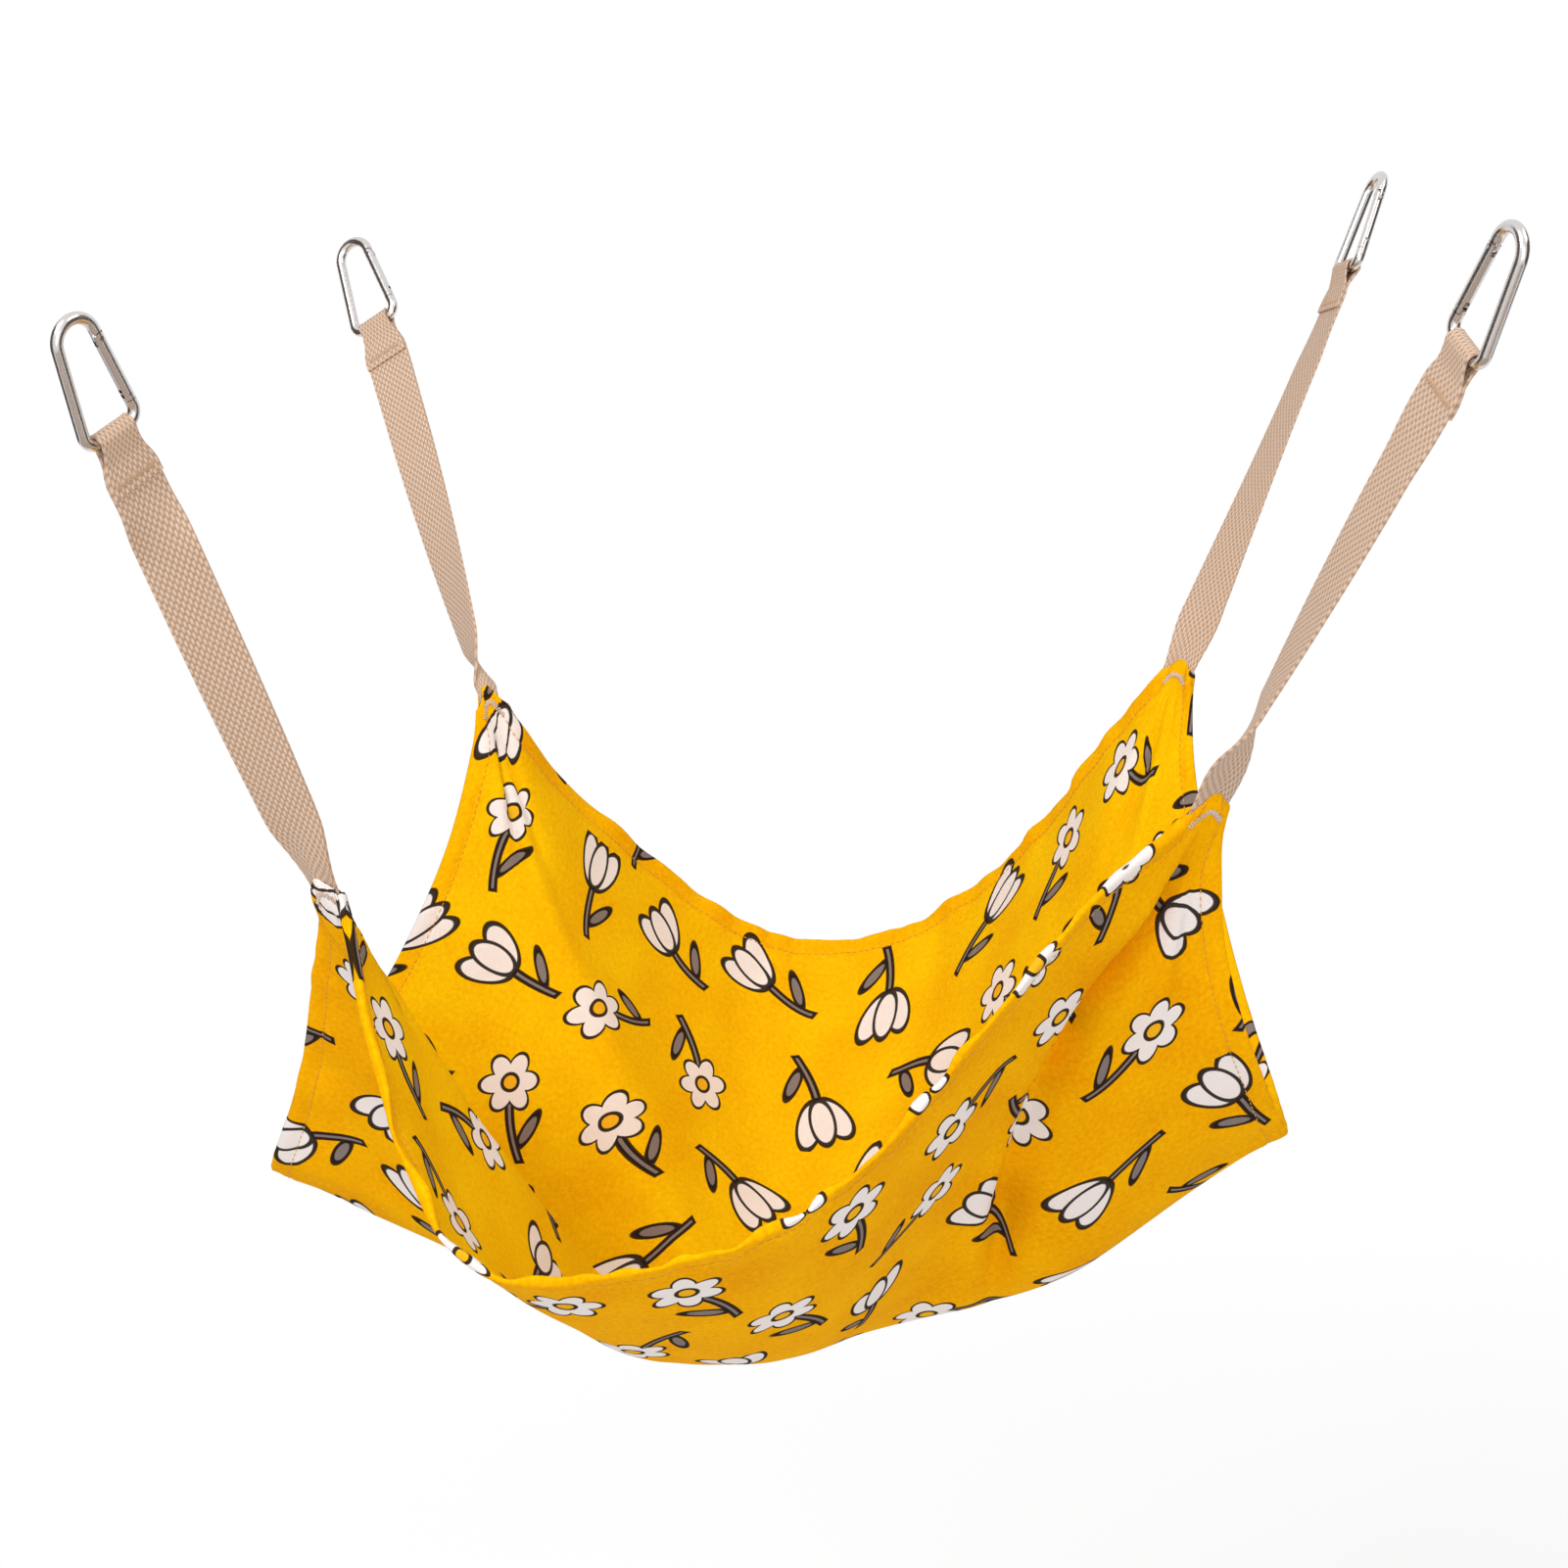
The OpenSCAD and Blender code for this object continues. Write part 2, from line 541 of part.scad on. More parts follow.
module piece(p, i) {
    if (p == "strap") color("tan") strap(i);
    if (p == "sewn_end") color("burlywood") sewn_end(i);
    if (p == "corner_tack") color("wheat") corner_tack(i);
    if (p == "fold_tack") color("wheat") fold_tack(i);
    if (p == "carabiner") color("silver") carabiner(i);
    if (p == "gate") color("lightgray") gate(i);
    if (p == "gate_rivet") color("gray") gate_rivet(i);
    if (p == "latch_pin") color("gray") latch_pin(i);
    if (p == "gate_spring") color("dimgray") gate_spring(i);
    if (p == "spring_plunger") color("darkgray") spring_plunger(i);
}

outer_panel();
inner_panel();
for (i = [0:3]) for (p = PIECES)
    piece(p, i);
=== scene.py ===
"""Hanging pet hammock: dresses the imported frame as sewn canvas, webbing and polished carabiners."""

import logging
import math
from dataclasses import dataclass
from enum import Enum

import bmesh
import bpy
import numpy as np
from mathutils import Matrix, Vector, noise


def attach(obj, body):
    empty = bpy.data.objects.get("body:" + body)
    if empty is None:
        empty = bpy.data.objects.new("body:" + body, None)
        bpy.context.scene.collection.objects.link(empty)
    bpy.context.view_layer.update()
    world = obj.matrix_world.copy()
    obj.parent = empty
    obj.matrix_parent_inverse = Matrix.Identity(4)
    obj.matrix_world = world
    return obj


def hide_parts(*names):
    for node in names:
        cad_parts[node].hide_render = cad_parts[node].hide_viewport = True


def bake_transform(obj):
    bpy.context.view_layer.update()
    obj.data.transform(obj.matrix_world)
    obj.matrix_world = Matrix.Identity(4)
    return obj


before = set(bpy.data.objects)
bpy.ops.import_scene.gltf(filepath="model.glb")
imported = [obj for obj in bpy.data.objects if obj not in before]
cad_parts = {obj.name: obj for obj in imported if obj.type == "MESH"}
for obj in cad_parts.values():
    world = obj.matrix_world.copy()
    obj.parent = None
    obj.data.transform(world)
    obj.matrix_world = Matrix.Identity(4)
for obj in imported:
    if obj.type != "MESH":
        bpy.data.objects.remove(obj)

log = logging.getLogger("hammock")
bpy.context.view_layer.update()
MM = 0.001


class Corner(Enum):
    """The four corners, in the order of the part's own lists."""

    FRONT_LEFT = 0
    FRONT_RIGHT = 1
    BACK_LEFT = 2
    BACK_RIGHT = 3

    @property
    def word(self) -> str:
        """The corner's name as the nodes spell it."""
        return self.name.lower()

    @property
    def signs(self) -> np.ndarray:
        """The signs of the corner's X and Y."""
        return np.array([(-1, 1)[self.value % 2], (-1, 1)[self.value // 2]], float)


class Layer(Enum):
    """The two layers of the sling, with the sense of their normals."""

    INNER = 1
    OUTER = -1

    @property
    def node(self) -> str:
        """The layer's node in the frame."""
        return f"{self.name.lower()}_panel"


def linear(hex_colour: str) -> tuple[float, float, float, float]:
    """Turns an sRGB hex colour to linear values.

    Args:
        hex_colour: Six hex digits after a hash sign.

    Returns:
        Red, green, blue and alpha for a colour socket.
    """
    parts = [int(hex_colour[i:i + 2], 16) / 255 for i in (1, 3, 5)]
    red, green, blue = [c / 12.92 if c <= 0.04045 else ((c + 0.055) / 1.055) ** 2.4 for c in parts]
    return red, green, blue, 1.0


def add_node(tree: bpy.types.NodeTree, kind: str, settings: dict | None = None,
             inputs: dict | None = None) -> bpy.types.Node:
    """Adds a node with its settings, its values and its links.

    Args:
        tree: The node tree that gets the node.
        kind: The node's type name.
        settings: Properties of the node.
        inputs: Values or output sockets for its inputs, by index or name.

    Returns:
        The new node.
    """
    node = tree.nodes.new(kind)
    for key, value in (settings or {}).items():
        setattr(node, key, value)
    for key, value in (inputs or {}).items():
        if isinstance(value, bpy.types.NodeSocket):
            tree.links.new(value, node.inputs[key])
        else:
            node.inputs[key].default_value = value
    return node


def solve(tree: bpy.types.NodeTree, known: dict, steps: list[tuple]) -> dict:
    """Adds a chain of sums to a tree, one row for each result.

    Args:
        tree: The node tree.
        known: Sockets by name that the rows may use; the results are added to it.
        steps: Rows of a result's name, an operation and its inputs.

    Returns:
        The same sockets by name.
    """
    for name, operation, *values in steps:
        inputs = {i: known[v] if isinstance(v, str) else v for i, v in enumerate(values)}
        known[name] = add_node(tree, "ShaderNodeMath", {"operation": operation}, inputs).outputs[0]
    return known


def smooth(t: np.ndarray | float) -> np.ndarray:
    """Eases a share from 0 to 1."""
    t = np.clip(t, 0, 1)
    return t * t * (3 - 2 * t)


def unit(v: np.ndarray) -> np.ndarray:
    """Scales vectors to length one."""
    v = np.asarray(v, float)
    return v / np.maximum(np.linalg.norm(v, axis=-1, keepdims=True), 1e-12)


def new_piece(name: str, bm: bmesh.types.BMesh) -> bpy.types.Object:
    """Makes a smooth-shaded object from a bmesh.

    Args:
        name: The piece's name.
        bm: Its shape, which is freed.

    Returns:
        The object, linked to the scene.
    """
    mesh = bpy.data.meshes.new(name)
    bm.to_mesh(mesh)
    bm.free()
    mesh.polygons.foreach_set("use_smooth", [True] * len(mesh.polygons))
    piece = bpy.data.objects.new(name, mesh)
    bpy.context.scene.collection.objects.link(piece)
    return piece


@dataclass(frozen=True)
class Finish:
    """What every finish has: a name for its material and a way to build it."""

    name: str

    def fresh(self) -> tuple[bpy.types.NodeTree, bpy.types.Node]:
        """Starts a material of this name.

        Returns:
            Its node tree and its shader node.
        """
        material = bpy.data.materials.new(self.name)
        material.use_nodes = True
        return material.node_tree, material.node_tree.nodes["Principled BSDF"]

    def dress(self, *pieces: bpy.types.Object) -> None:
        """Puts the finish on pieces, and makes it when it is first asked for.

        Args:
            pieces: Objects that carry it.
        """
        material = bpy.data.materials.get(self.name) or self.build()
        for piece in pieces:
            if len(piece.material_slots) == 0:
                piece.data.materials.append(material)
            for slot in piece.material_slots:
                slot.material = material

    def build(self) -> bpy.types.Material:
        """Makes the material."""
        raise NotImplementedError


@dataclass(frozen=True)
class PrintedCanvas(Finish):
    """Cotton canvas, plain woven, dyed yellow and screen printed with flower sprigs.

    The weave breaks up the light and keeps the cloth matt, and the ink lies flat on it.
    """

    name: str = "Printed cotton canvas"
    ground: str = "#FDBB02"
    ground_deep: str = "#EC9A00"
    hem: str = "#FDBB02"
    hem_deep: str = "#EC9A00"
    ink: str = "#211612"
    petal: str = "#F0E6E1"
    stalk: str = "#857772"
    heart: str = "#F2B222"
    # Sprigs stand in staggered rows, and each strays by a share of its cell.
    pitch_mm: float = 67.0
    rise_share: float = 0.94
    shift: float = 0.31
    stray: float = 0.10
    layout: float = 2.0
    daisy_share: float = 0.45
    size: float = 1.3
    outline_mm: float = 0.72
    ink_edge_mm: float = 0.18
    # Real threads are about 0.5 mm apart; they are drawn coarser so that they show.
    thread_mm: float = 1.1
    slub_mm: float = 3.5
    # The colour varies over a few centimetres and from thread to thread: partly uneven dyeing, and
    # partly painted shade, a deeper orange that stands in for the shading of soft folds.
    patch_mm: float = 42.0
    fleck_mm: float = 2.4
    # Distances from the edge between which the hem's colour ends and its seam sinks in.
    hem_mm: tuple[float, float] = (8.0, 14.0)
    seam_mm: tuple[float, float] = (8.8, 9.6)
    roughness: float = 0.88
    specular: float = 0.03

    def build(self) -> bpy.types.Material:
        """Makes the cloth's material on its flat-cut UV map, where 1 is a metre.

        Returns:
            The material.
        """
        tree, shader = self.fresh()
        uv = add_node(tree, "ShaderNodeUVMap", {"uv_map": "flat_cut"}).outputs[0]
        flat = add_node(tree, "ShaderNodeSeparateXYZ", None, {0: uv}).outputs
        known = {"x": flat[0], "y": flat[1]}
        self.lattice(tree, known)
        self.sprig(tree, known)
        colour = self.inks(tree, known, uv)
        shader.inputs["Roughness"].default_value = self.roughness
        shader.inputs["Specular IOR Level"].default_value = self.specular
        tree.links.new(colour, shader.inputs["Base Color"])
        tree.links.new(self.weave(tree, known, uv), shader.inputs["Normal"])
        return bpy.data.materials[self.name]

    def lattice(self, tree: bpy.types.NodeTree, known: dict) -> None:
        """Sets out the sprigs: staggered rows, where each has its own turn, place and kind.

        Args:
            tree: The node tree.
            known: Sockets by name; px and py in millimetres are added.
        """
        rise_mm = self.pitch_mm * self.rise_share
        solve(tree, known, [
            ("gy", "MULTIPLY", "y", 1000 / rise_mm),
            ("row", "FLOOR", "gy"),
            ("odd", "FLOORED_MODULO", "row", 2.0),
            ("gx", "MULTIPLY_ADD", "x", 1000 / self.pitch_mm, self.shift),
            ("gs", "MULTIPLY_ADD", "odd", 0.5, "gx"),
            ("column", "FLOOR", "gs"),
            ("fx", "SUBTRACT", "gs", "column"),
            ("fy", "SUBTRACT", "gy", "row"),
        ])
        cell = add_node(tree, "ShaderNodeCombineXYZ", None, {
            0: known["column"], 1: known["row"], 2: self.layout})
        chance = add_node(tree, "ShaderNodeTexWhiteNoise", {"noise_dimensions": "3D"}, {
            0: cell.outputs[0]})
        share = add_node(tree, "ShaderNodeSeparateColor", None, {
            0: chance.outputs["Color"]}).outputs
        known.update(r1=share[0], r2=share[1], r3=share[2], kind=chance.outputs["Value"])
        solve(tree, known, [
            ("jx", "MULTIPLY_ADD", "r1", self.stray, -0.5 - self.stray / 2),
            ("jy", "MULTIPLY_ADD", "r2", self.stray, -0.5 - self.stray / 2),
            ("cx", "ADD", "fx", "jx"),
            ("cy", "ADD", "fy", "jy"),
            ("mx", "MULTIPLY", "cx", self.pitch_mm / self.size),
            ("my", "MULTIPLY", "cy", rise_mm / self.size),
            ("turn", "MULTIPLY", "r3", 2 * math.pi),
            ("cos", "COSINE", "turn"),
            ("sin", "SINE", "turn"),
            ("mxc", "MULTIPLY", "mx", "cos"),
            ("px", "MULTIPLY_ADD", "my", "sin", "mxc"),
            ("mxs", "MULTIPLY", "mx", "sin"),
            ("myc", "MULTIPLY", "my", "cos"),
            ("py", "SUBTRACT", "myc", "mxs"),
        ])

    @staticmethod
    def oval(name: str, x: str, y: str, lean: tuple, halves: tuple, scale: float) -> list[tuple]:
        """Rows for the distance to a leaning oval, such as a leaf or a petal.

        Args:
            name: The result's name.
            x: Name of the place across, from the oval's middle.
            y: Name of the place along, from the oval's middle.
            lean: Cosine and sine of its lean.
            halves: Half its width and half its length.
            scale: Millimetres to one radius.

        Returns:
            Rows for solve.
        """
        (cosine, sine), (half_width, half_length) = lean, halves
        return [
            (f"{name}_xc", "MULTIPLY", x, cosine),
            (f"{name}_u", "MULTIPLY_ADD", y, -sine, f"{name}_xc"),
            (f"{name}_xs", "MULTIPLY", x, sine),
            (f"{name}_v", "MULTIPLY_ADD", y, cosine, f"{name}_xs"),
            (f"{name}_a", "DIVIDE", f"{name}_u", half_width),
            (f"{name}_b", "DIVIDE", f"{name}_v", half_length),
            (f"{name}_aa", "MULTIPLY", f"{name}_a", f"{name}_a"),
            (f"{name}_sum", "MULTIPLY_ADD", f"{name}_b", f"{name}_b", f"{name}_aa"),
            (f"{name}_r", "SQRT", f"{name}_sum"),
            (name, "MULTIPLY_ADD", f"{name}_r", scale, -scale),
        ]

    def sprig(self, tree: bpy.types.NodeTree, known: dict) -> None:
        """Draws one sprig as distances in millimetres, less than nothing inside a form.

        Args:
            tree: The node tree.
            known: Sockets by name; the distances are added.
        """
        solve(tree, known, [
            # The stalk bends in a shallow bow below the flower.
            ("bow", "MULTIPLY", "py", "py"),
            ("sx", "MULTIPLY_ADD", "bow", -0.009, "px"),
            ("sa", "ABSOLUTE", "sx"),
            ("s1", "SUBTRACT", "sa", 1.3),
            ("s2", "MULTIPLY_ADD", "py", -1.0, -22.0),
            ("s3", "SUBTRACT", "py", 3.0),
            ("s4", "MAXIMUM", "s2", "s3"),
            ("stem", "MAXIMUM", "s1", "s4"),
            # One long leaf leaves the stalk at a slant.
            ("lx", "SUBTRACT", "px", 8.0),
            ("ly", "ADD", "py", 9.5),
            *self.oval("leaf", "lx", "ly", (0.82, 0.57), (2.4, 8.0), 3.0),
            ("green", "MINIMUM", "stem", "leaf"),
            # A tulip has a middle petal and two that lean out from it.
            ("ax", "ABSOLUTE", "px"),
            ("ty", "SUBTRACT", "py", 11.0),
            *self.oval("middle", "px", "ty", (1.0, 0.0), (4.8, 11.0), 5.6),
            ("ox", "SUBTRACT", "ax", 5.4),
            *self.oval("wing", "ox", "ty", (0.94, 0.34), (5.0, 11.4), 5.8),
            ("tulip", "MINIMUM", "middle", "wing"),
            # A daisy has six round petals about a yellow heart.
            ("dy", "SUBTRACT", "py", 10.0),
            ("d1", "MULTIPLY", "px", "px"),
            ("d2", "MULTIPLY_ADD", "dy", "dy", "d1"),
            ("dr", "SQRT", "d2"),
            ("da", "ARCTAN2", "dy", "px"),
            ("d3", "MULTIPLY", "da", 3.0),
            ("d4", "COSINE", "d3"),
            ("d5", "ABSOLUTE", "d4"),
            ("d6", "MULTIPLY_ADD", "d5", -4.6, -7.8),
            ("daisy", "ADD", "dr", "d6"),
            ("is_daisy", "GREATER_THAN", "kind", 1 - self.daisy_share),
            ("more", "SUBTRACT", "daisy", "tulip"),
            ("head", "MULTIPLY_ADD", "more", "is_daisy", "tulip"),
            ("no_daisy", "SUBTRACT", 1.0, "is_daisy"),
            ("eye", "SUBTRACT", "dr", 3.4),
            ("heart", "MULTIPLY_ADD", "no_daisy", 99.0, "eye"),
            # Ink runs round each form; the stalk passes behind the flower, and the tulip's
            # middle petal is drawn inside it.
            ("edge_head", "ABSOLUTE", "head"),
            ("edge_heart", "ABSOLUTE", "heart"),
            ("edge_mid", "ABSOLUTE", "middle"),
            ("in_head", "ADD", "head", self.outline_mm),
            ("edge_mid_in", "MAXIMUM", "edge_mid", "in_head"),
            ("edge_petal", "MULTIPLY_ADD", "is_daisy", 99.0, "edge_mid_in"),
            ("edge_green", "ABSOLUTE", "green"),
            ("behind", "MULTIPLY", "head", -1.0),
            ("edge_low", "MAXIMUM", "edge_green", "behind"),
            ("e1", "MINIMUM", "edge_head", "edge_heart"),
            ("e2", "MINIMUM", "edge_petal", "edge_low"),
            ("ink", "MINIMUM", "e1", "e2"),
        ])

    def inks(self, tree: bpy.types.NodeTree, known: dict,
             uv: bpy.types.NodeSocket) -> bpy.types.NodeSocket:
        """Lays the inks over the dyed ground.

        Args:
            tree: The node tree.
            known: Sockets by name from the sprig.
            uv: The flat-cut coordinates.

        Returns:
            The cloth's colour.
        """
        patches, flecks = (add_node(tree, "ShaderNodeTexNoise", None, {
            "Vector": uv, "Scale": 1000 / grain_mm, "Detail": 4.0})
            for grain_mm in (self.patch_mm, self.fleck_mm))
        known.update(patch=patches.outputs[0], fleck=flecks.outputs[0])
        # Patches and flecks: partly uneven dyeing, partly painted shade of soft folds.
        solve(tree, known, [("dye_and_shade", "MULTIPLY_ADD", "fleck", 1.2, "patch")])
        tone = add_node(tree, "ShaderNodeMapRange", None, {0: known["dye_and_shade"], 1: 0.75, 2: 1.45})
        ground, hem = (add_node(tree, "ShaderNodeMix", {"data_type": "RGBA"}, {
            0: tone.outputs[0], 6: linear(pale), 7: linear(deep)}).outputs[2]
            for pale, deep in ((self.ground, self.ground_deep), (self.hem, self.hem_deep)))
        # The outer cloth is turned over the edge, so the hem has its colour on both faces.
        rim = add_node(tree, "ShaderNodeAttribute", {"attribute_name": "rim_mm"}).outputs["Fac"]
        inside = add_node(tree, "ShaderNodeMapRange", {"interpolation_type": "SMOOTHSTEP"}, {
            0: rim, 1: self.hem_mm[0], 2: self.hem_mm[1]})
        colour = add_node(tree, "ShaderNodeMix", {"data_type": "RGBA"}, {
            0: inside.outputs[0], 6: hem, 7: ground}).outputs[2]
        soft = self.ink_edge_mm
        for form, ink in (("green", self.stalk), ("head", self.petal), ("heart", self.heart)):
            cover = add_node(tree, "ShaderNodeMapRange", {"interpolation_type": "SMOOTHSTEP"}, {
                0: known[form], 1: -soft, 2: soft, 3: 1.0, 4: 0.0})
            colour = add_node(tree, "ShaderNodeMix", {"data_type": "RGBA"}, {
                0: cover.outputs[0], 6: colour, 7: linear(ink)}).outputs[2]
        cover = add_node(tree, "ShaderNodeMapRange", {"interpolation_type": "SMOOTHSTEP"}, {
            0: known["ink"], 1: self.outline_mm - soft, 2: self.outline_mm + soft, 3: 0.97, 4: 0.0})
        return add_node(tree, "ShaderNodeMix", {"data_type": "RGBA"}, {
            0: cover.outputs[0], 6: colour, 7: linear(self.ink)}).outputs[2]

    def weave(self, tree: bpy.types.NodeTree, known: dict,
              uv: bpy.types.NodeSocket) -> bpy.types.NodeSocket:
        """Raises the threads of a plain weave, with the groove of the hem's seam.

        Args:
            tree: The node tree.
            known: Sockets by name.
            uv: The flat-cut coordinates.

        Returns:
            The surface normal.
        """
        turn = 2 * math.pi * 1000 / self.thread_mm
        solve(tree, known, [
            ("wx", "MULTIPLY", "x", turn),
            ("wy", "MULTIPLY", "y", turn),
            ("sinx", "SINE", "wx"),
            ("siny", "SINE", "wy"),
            ("cross", "MULTIPLY", "sinx", "siny"),
        ])
        slubs = add_node(tree, "ShaderNodeTexNoise", None, {
            "Vector": uv, "Scale": 1000 / self.slub_mm, "Detail": 2.0})
        known["slub"] = slubs.outputs[0]
        solve(tree, known, [("height", "MULTIPLY_ADD", "slub", 0.9, "cross")])
        rim = add_node(tree, "ShaderNodeAttribute", {"attribute_name": "rim_mm"}).outputs["Fac"]
        groove = add_node(tree, "ShaderNodeMapRange", {"interpolation_type": "SMOOTHSTEP"}, {
            0: rim, 1: self.seam_mm[0], 2: self.seam_mm[1], 3: 0.0, 4: 1.0})
        threads = add_node(tree, "ShaderNodeBump", None, {
            "Strength": 0.35, "Distance": 0.00022, "Height": known["height"]})
        return add_node(tree, "ShaderNodeBump", None, {
            "Strength": 0.35, "Distance": 0.0005, "Height": groove.outputs[0],
            "Normal": threads.outputs[0]}).outputs[0]


@dataclass(frozen=True)
class WovenWebbing(Finish):
    """Polypropylene band in a plain weave, whose columns of short floats stand out in the light.

    The columns and floats are drawn coarser than the real ones, so that they show.
    """

    name: str = "Woven polypropylene webbing"
    # The hollows between the floats take the darker colour, painted shade.
    crown: str = "#DABFA8"
    shaded_hollow: str = "#AB876C"
    column_mm: float = 1.47
    float_mm: float = 4.1
    fuzz_mm: float = 1.2

    def build(self) -> bpy.types.Material:
        """Makes the band's material on its own UV map, where 1 is a metre.

        Returns:
            The material.
        """
        tree, shader = self.fresh()
        uv = add_node(tree, "ShaderNodeUVMap", {"uv_map": "band"}).outputs[0]
        flat = add_node(tree, "ShaderNodeSeparateXYZ", None, {0: uv}).outputs
        known = solve(tree, {"x": flat[0], "y": flat[1]}, [
            ("c", "MULTIPLY_ADD", "x", 1000 / self.column_mm, 0.5),
            ("n", "FLOOR", "c"),
            ("f", "SUBTRACT", "c", "n"),
            ("odd", "FLOORED_MODULO", "n", 2.0),
            ("half", "MULTIPLY", "odd", 0.5),
            ("y1", "MULTIPLY_ADD", "y", 1000 / self.float_mm, "half"),
            ("y2", "MULTIPLY", "y1", 2 * math.pi),
            ("y3", "SINE", "y2"),
            ("y4", "MULTIPLY_ADD", "y3", 0.5, 0.5),
            ("grain", "POWER", "y4", 0.7),
            ("f1", "MULTIPLY", "f", math.pi),
            ("f2", "SINE", "f1"),
            ("f3", "POWER", "f2", 0.6),
            ("relief", "MULTIPLY", "grain", "f3"),
        ])
        fuzz = add_node(tree, "ShaderNodeTexNoise", None, {
            "Vector": uv, "Scale": 1000 / self.fuzz_mm, "Detail": 3.0})
        known["fuzz"] = fuzz.outputs[0]
        solve(tree, known, [("mixed", "MULTIPLY_ADD", "fuzz", 0.35, "relief")])
        # Darker where the weave lies low, painted shade in its hollows; the fuzz adds tone that
        # varies at random.
        tone = add_node(tree, "ShaderNodeMapRange", None, {0: known["mixed"], 1: 0.15, 2: 0.95})
        colour = add_node(tree, "ShaderNodeMix", {"data_type": "RGBA"}, {
            0: tone.outputs[0], 6: linear(self.shaded_hollow), 7: linear(self.crown)})
        bump = add_node(tree, "ShaderNodeBump", None, {
            "Strength": 0.6, "Distance": 0.0005, "Height": known["mixed"]})
        tree.links.new(colour.outputs[2], shader.inputs["Base Color"])
        tree.links.new(bump.outputs[0], shader.inputs["Normal"])
        shader.inputs["Roughness"].default_value = 0.72
        shader.inputs["Specular IOR Level"].default_value = 0.35
        shader.inputs["Sheen Weight"].default_value = 0.15
        return bpy.data.materials[self.name]


@dataclass(frozen=True)
class SewingThread(Finish):
    """Twisted polyester thread, with a soft gloss along its ply."""

    name: str = "Twisted polyester thread"
    colour: str = "#D9C4B2"
    shade: str = "#B79D88"
    ply_mm: float = 0.6

    def build(self) -> bpy.types.Material:
        """Makes the thread's material.

        Returns:
            The material.
        """
        tree, shader = self.fresh()
        spot = add_node(tree, "ShaderNodeTexCoord").outputs["Object"]
        ply = add_node(tree, "ShaderNodeTexNoise", None, {
            "Vector": spot, "Scale": 1000 / self.ply_mm, "Detail": 2.0})
        # The ply's low places take the darker colour, painted shade in the grooves of its twist.
        colour = add_node(tree, "ShaderNodeMix", {"data_type": "RGBA"}, {
            0: ply.outputs[0], 6: linear(self.shade), 7: linear(self.colour)})
        bump = add_node(tree, "ShaderNodeBump", None, {
            "Strength": 0.3, "Distance": 0.0001, "Height": ply.outputs[0]})
        tree.links.new(colour.outputs[2], shader.inputs["Base Color"])
        tree.links.new(bump.outputs[0], shader.inputs["Normal"])
        shader.inputs["Roughness"].default_value = 0.5
        shader.inputs["Sheen Weight"].default_value = 0.2
        return bpy.data.materials[self.name]


@dataclass(frozen=True)
class Metal(Finish):
    """Bare metal, with faint marks of handling and a finish that varies a little."""

    name: str = "Polished aluminium"
    colour: str = "#D6D2D0"
    rough: tuple[float, float] = (0.16, 0.28)
    mark_mm: float = 1.6

    def build(self) -> bpy.types.Material:
        """Makes the metal's material.

        Returns:
            The material.
        """
        tree, shader = self.fresh()
        spot = add_node(tree, "ShaderNodeTexCoord").outputs["Object"]
        marks = add_node(tree, "ShaderNodeTexNoise", None, {
            "Vector": spot, "Scale": 1000 / self.mark_mm, "Detail": 5.0})
        rough = add_node(tree, "ShaderNodeMapRange", None, {
            0: marks.outputs[0], 1: 0.3, 2: 0.7, 3: self.rough[0], 4: self.rough[1]})
        bump = add_node(tree, "ShaderNodeBump", None, {
            "Strength": 0.02, "Distance": 0.0002, "Height": marks.outputs[0]})
        shader.inputs["Base Color"].default_value = linear(self.colour)
        shader.inputs["Metallic"].default_value = 1.0
        tree.links.new(rough.outputs[0], shader.inputs["Roughness"])
        tree.links.new(bump.outputs[0], shader.inputs["Normal"])
        return bpy.data.materials[self.name]


CANVAS = PrintedCanvas()
# The lining is the same cloth as the outside, painted paler and yellower: painted light that offsets
# the orange light the bowl throws back on itself and brightens the lit inside.
LINING_PAINTED_PALER = PrintedCanvas("Printed cotton canvas lining", "#FACA05", "#EEAA02", "#FCC203", "#EDA201")
WEBBING = WovenWebbing()
TACK_THREAD = SewingThread()
HEM_THREAD = SewingThread("Dyed polyester thread", "#E9A50C", "#C98A08")
WEBBING_THREAD = SewingThread("Tan polyester thread", "#CFAE8E", "#B18D6D")
ALUMINIUM = Metal()
STEEL = Metal("Drawn steel wire", "#BDBDC0", (0.22, 0.36), 0.8)


@dataclass(frozen=True)
class Stitch:
    """One short stitch that stands out of a surface, in metres."""

    length: float
    width: float
    lift: float
    fineness: int

    def lay(self, bm: bmesh.types.BMesh, at: np.ndarray, along: np.ndarray, up: np.ndarray) -> None:
        """Lays the stitch on a surface.

        Args:
            bm: The shape that gets it.
            at: The place below its middle.
            along: Its direction.
            up: The surface's normal.
        """
        radius = self.width / 2
        axes = [along * self.length / 2, np.cross(up, along) * radius, up * radius]
        turn = Matrix(np.column_stack(axes).tolist()).to_4x4()
        turn.translation = Vector(at + up * self.lift)
        bmesh.ops.create_icosphere(bm, subdivisions=self.fineness, radius=1, matrix=turn)


HEM_STITCH = Stitch(2.7 * MM, 0.55 * MM, 0.12 * MM, 1)
TACK_STITCH = Stitch(2.9 * MM, 0.95 * MM, 0.2 * MM, 2)
FOLD_STITCH = Stitch(2.8 * MM, 0.8 * MM, 0.12 * MM, 2)


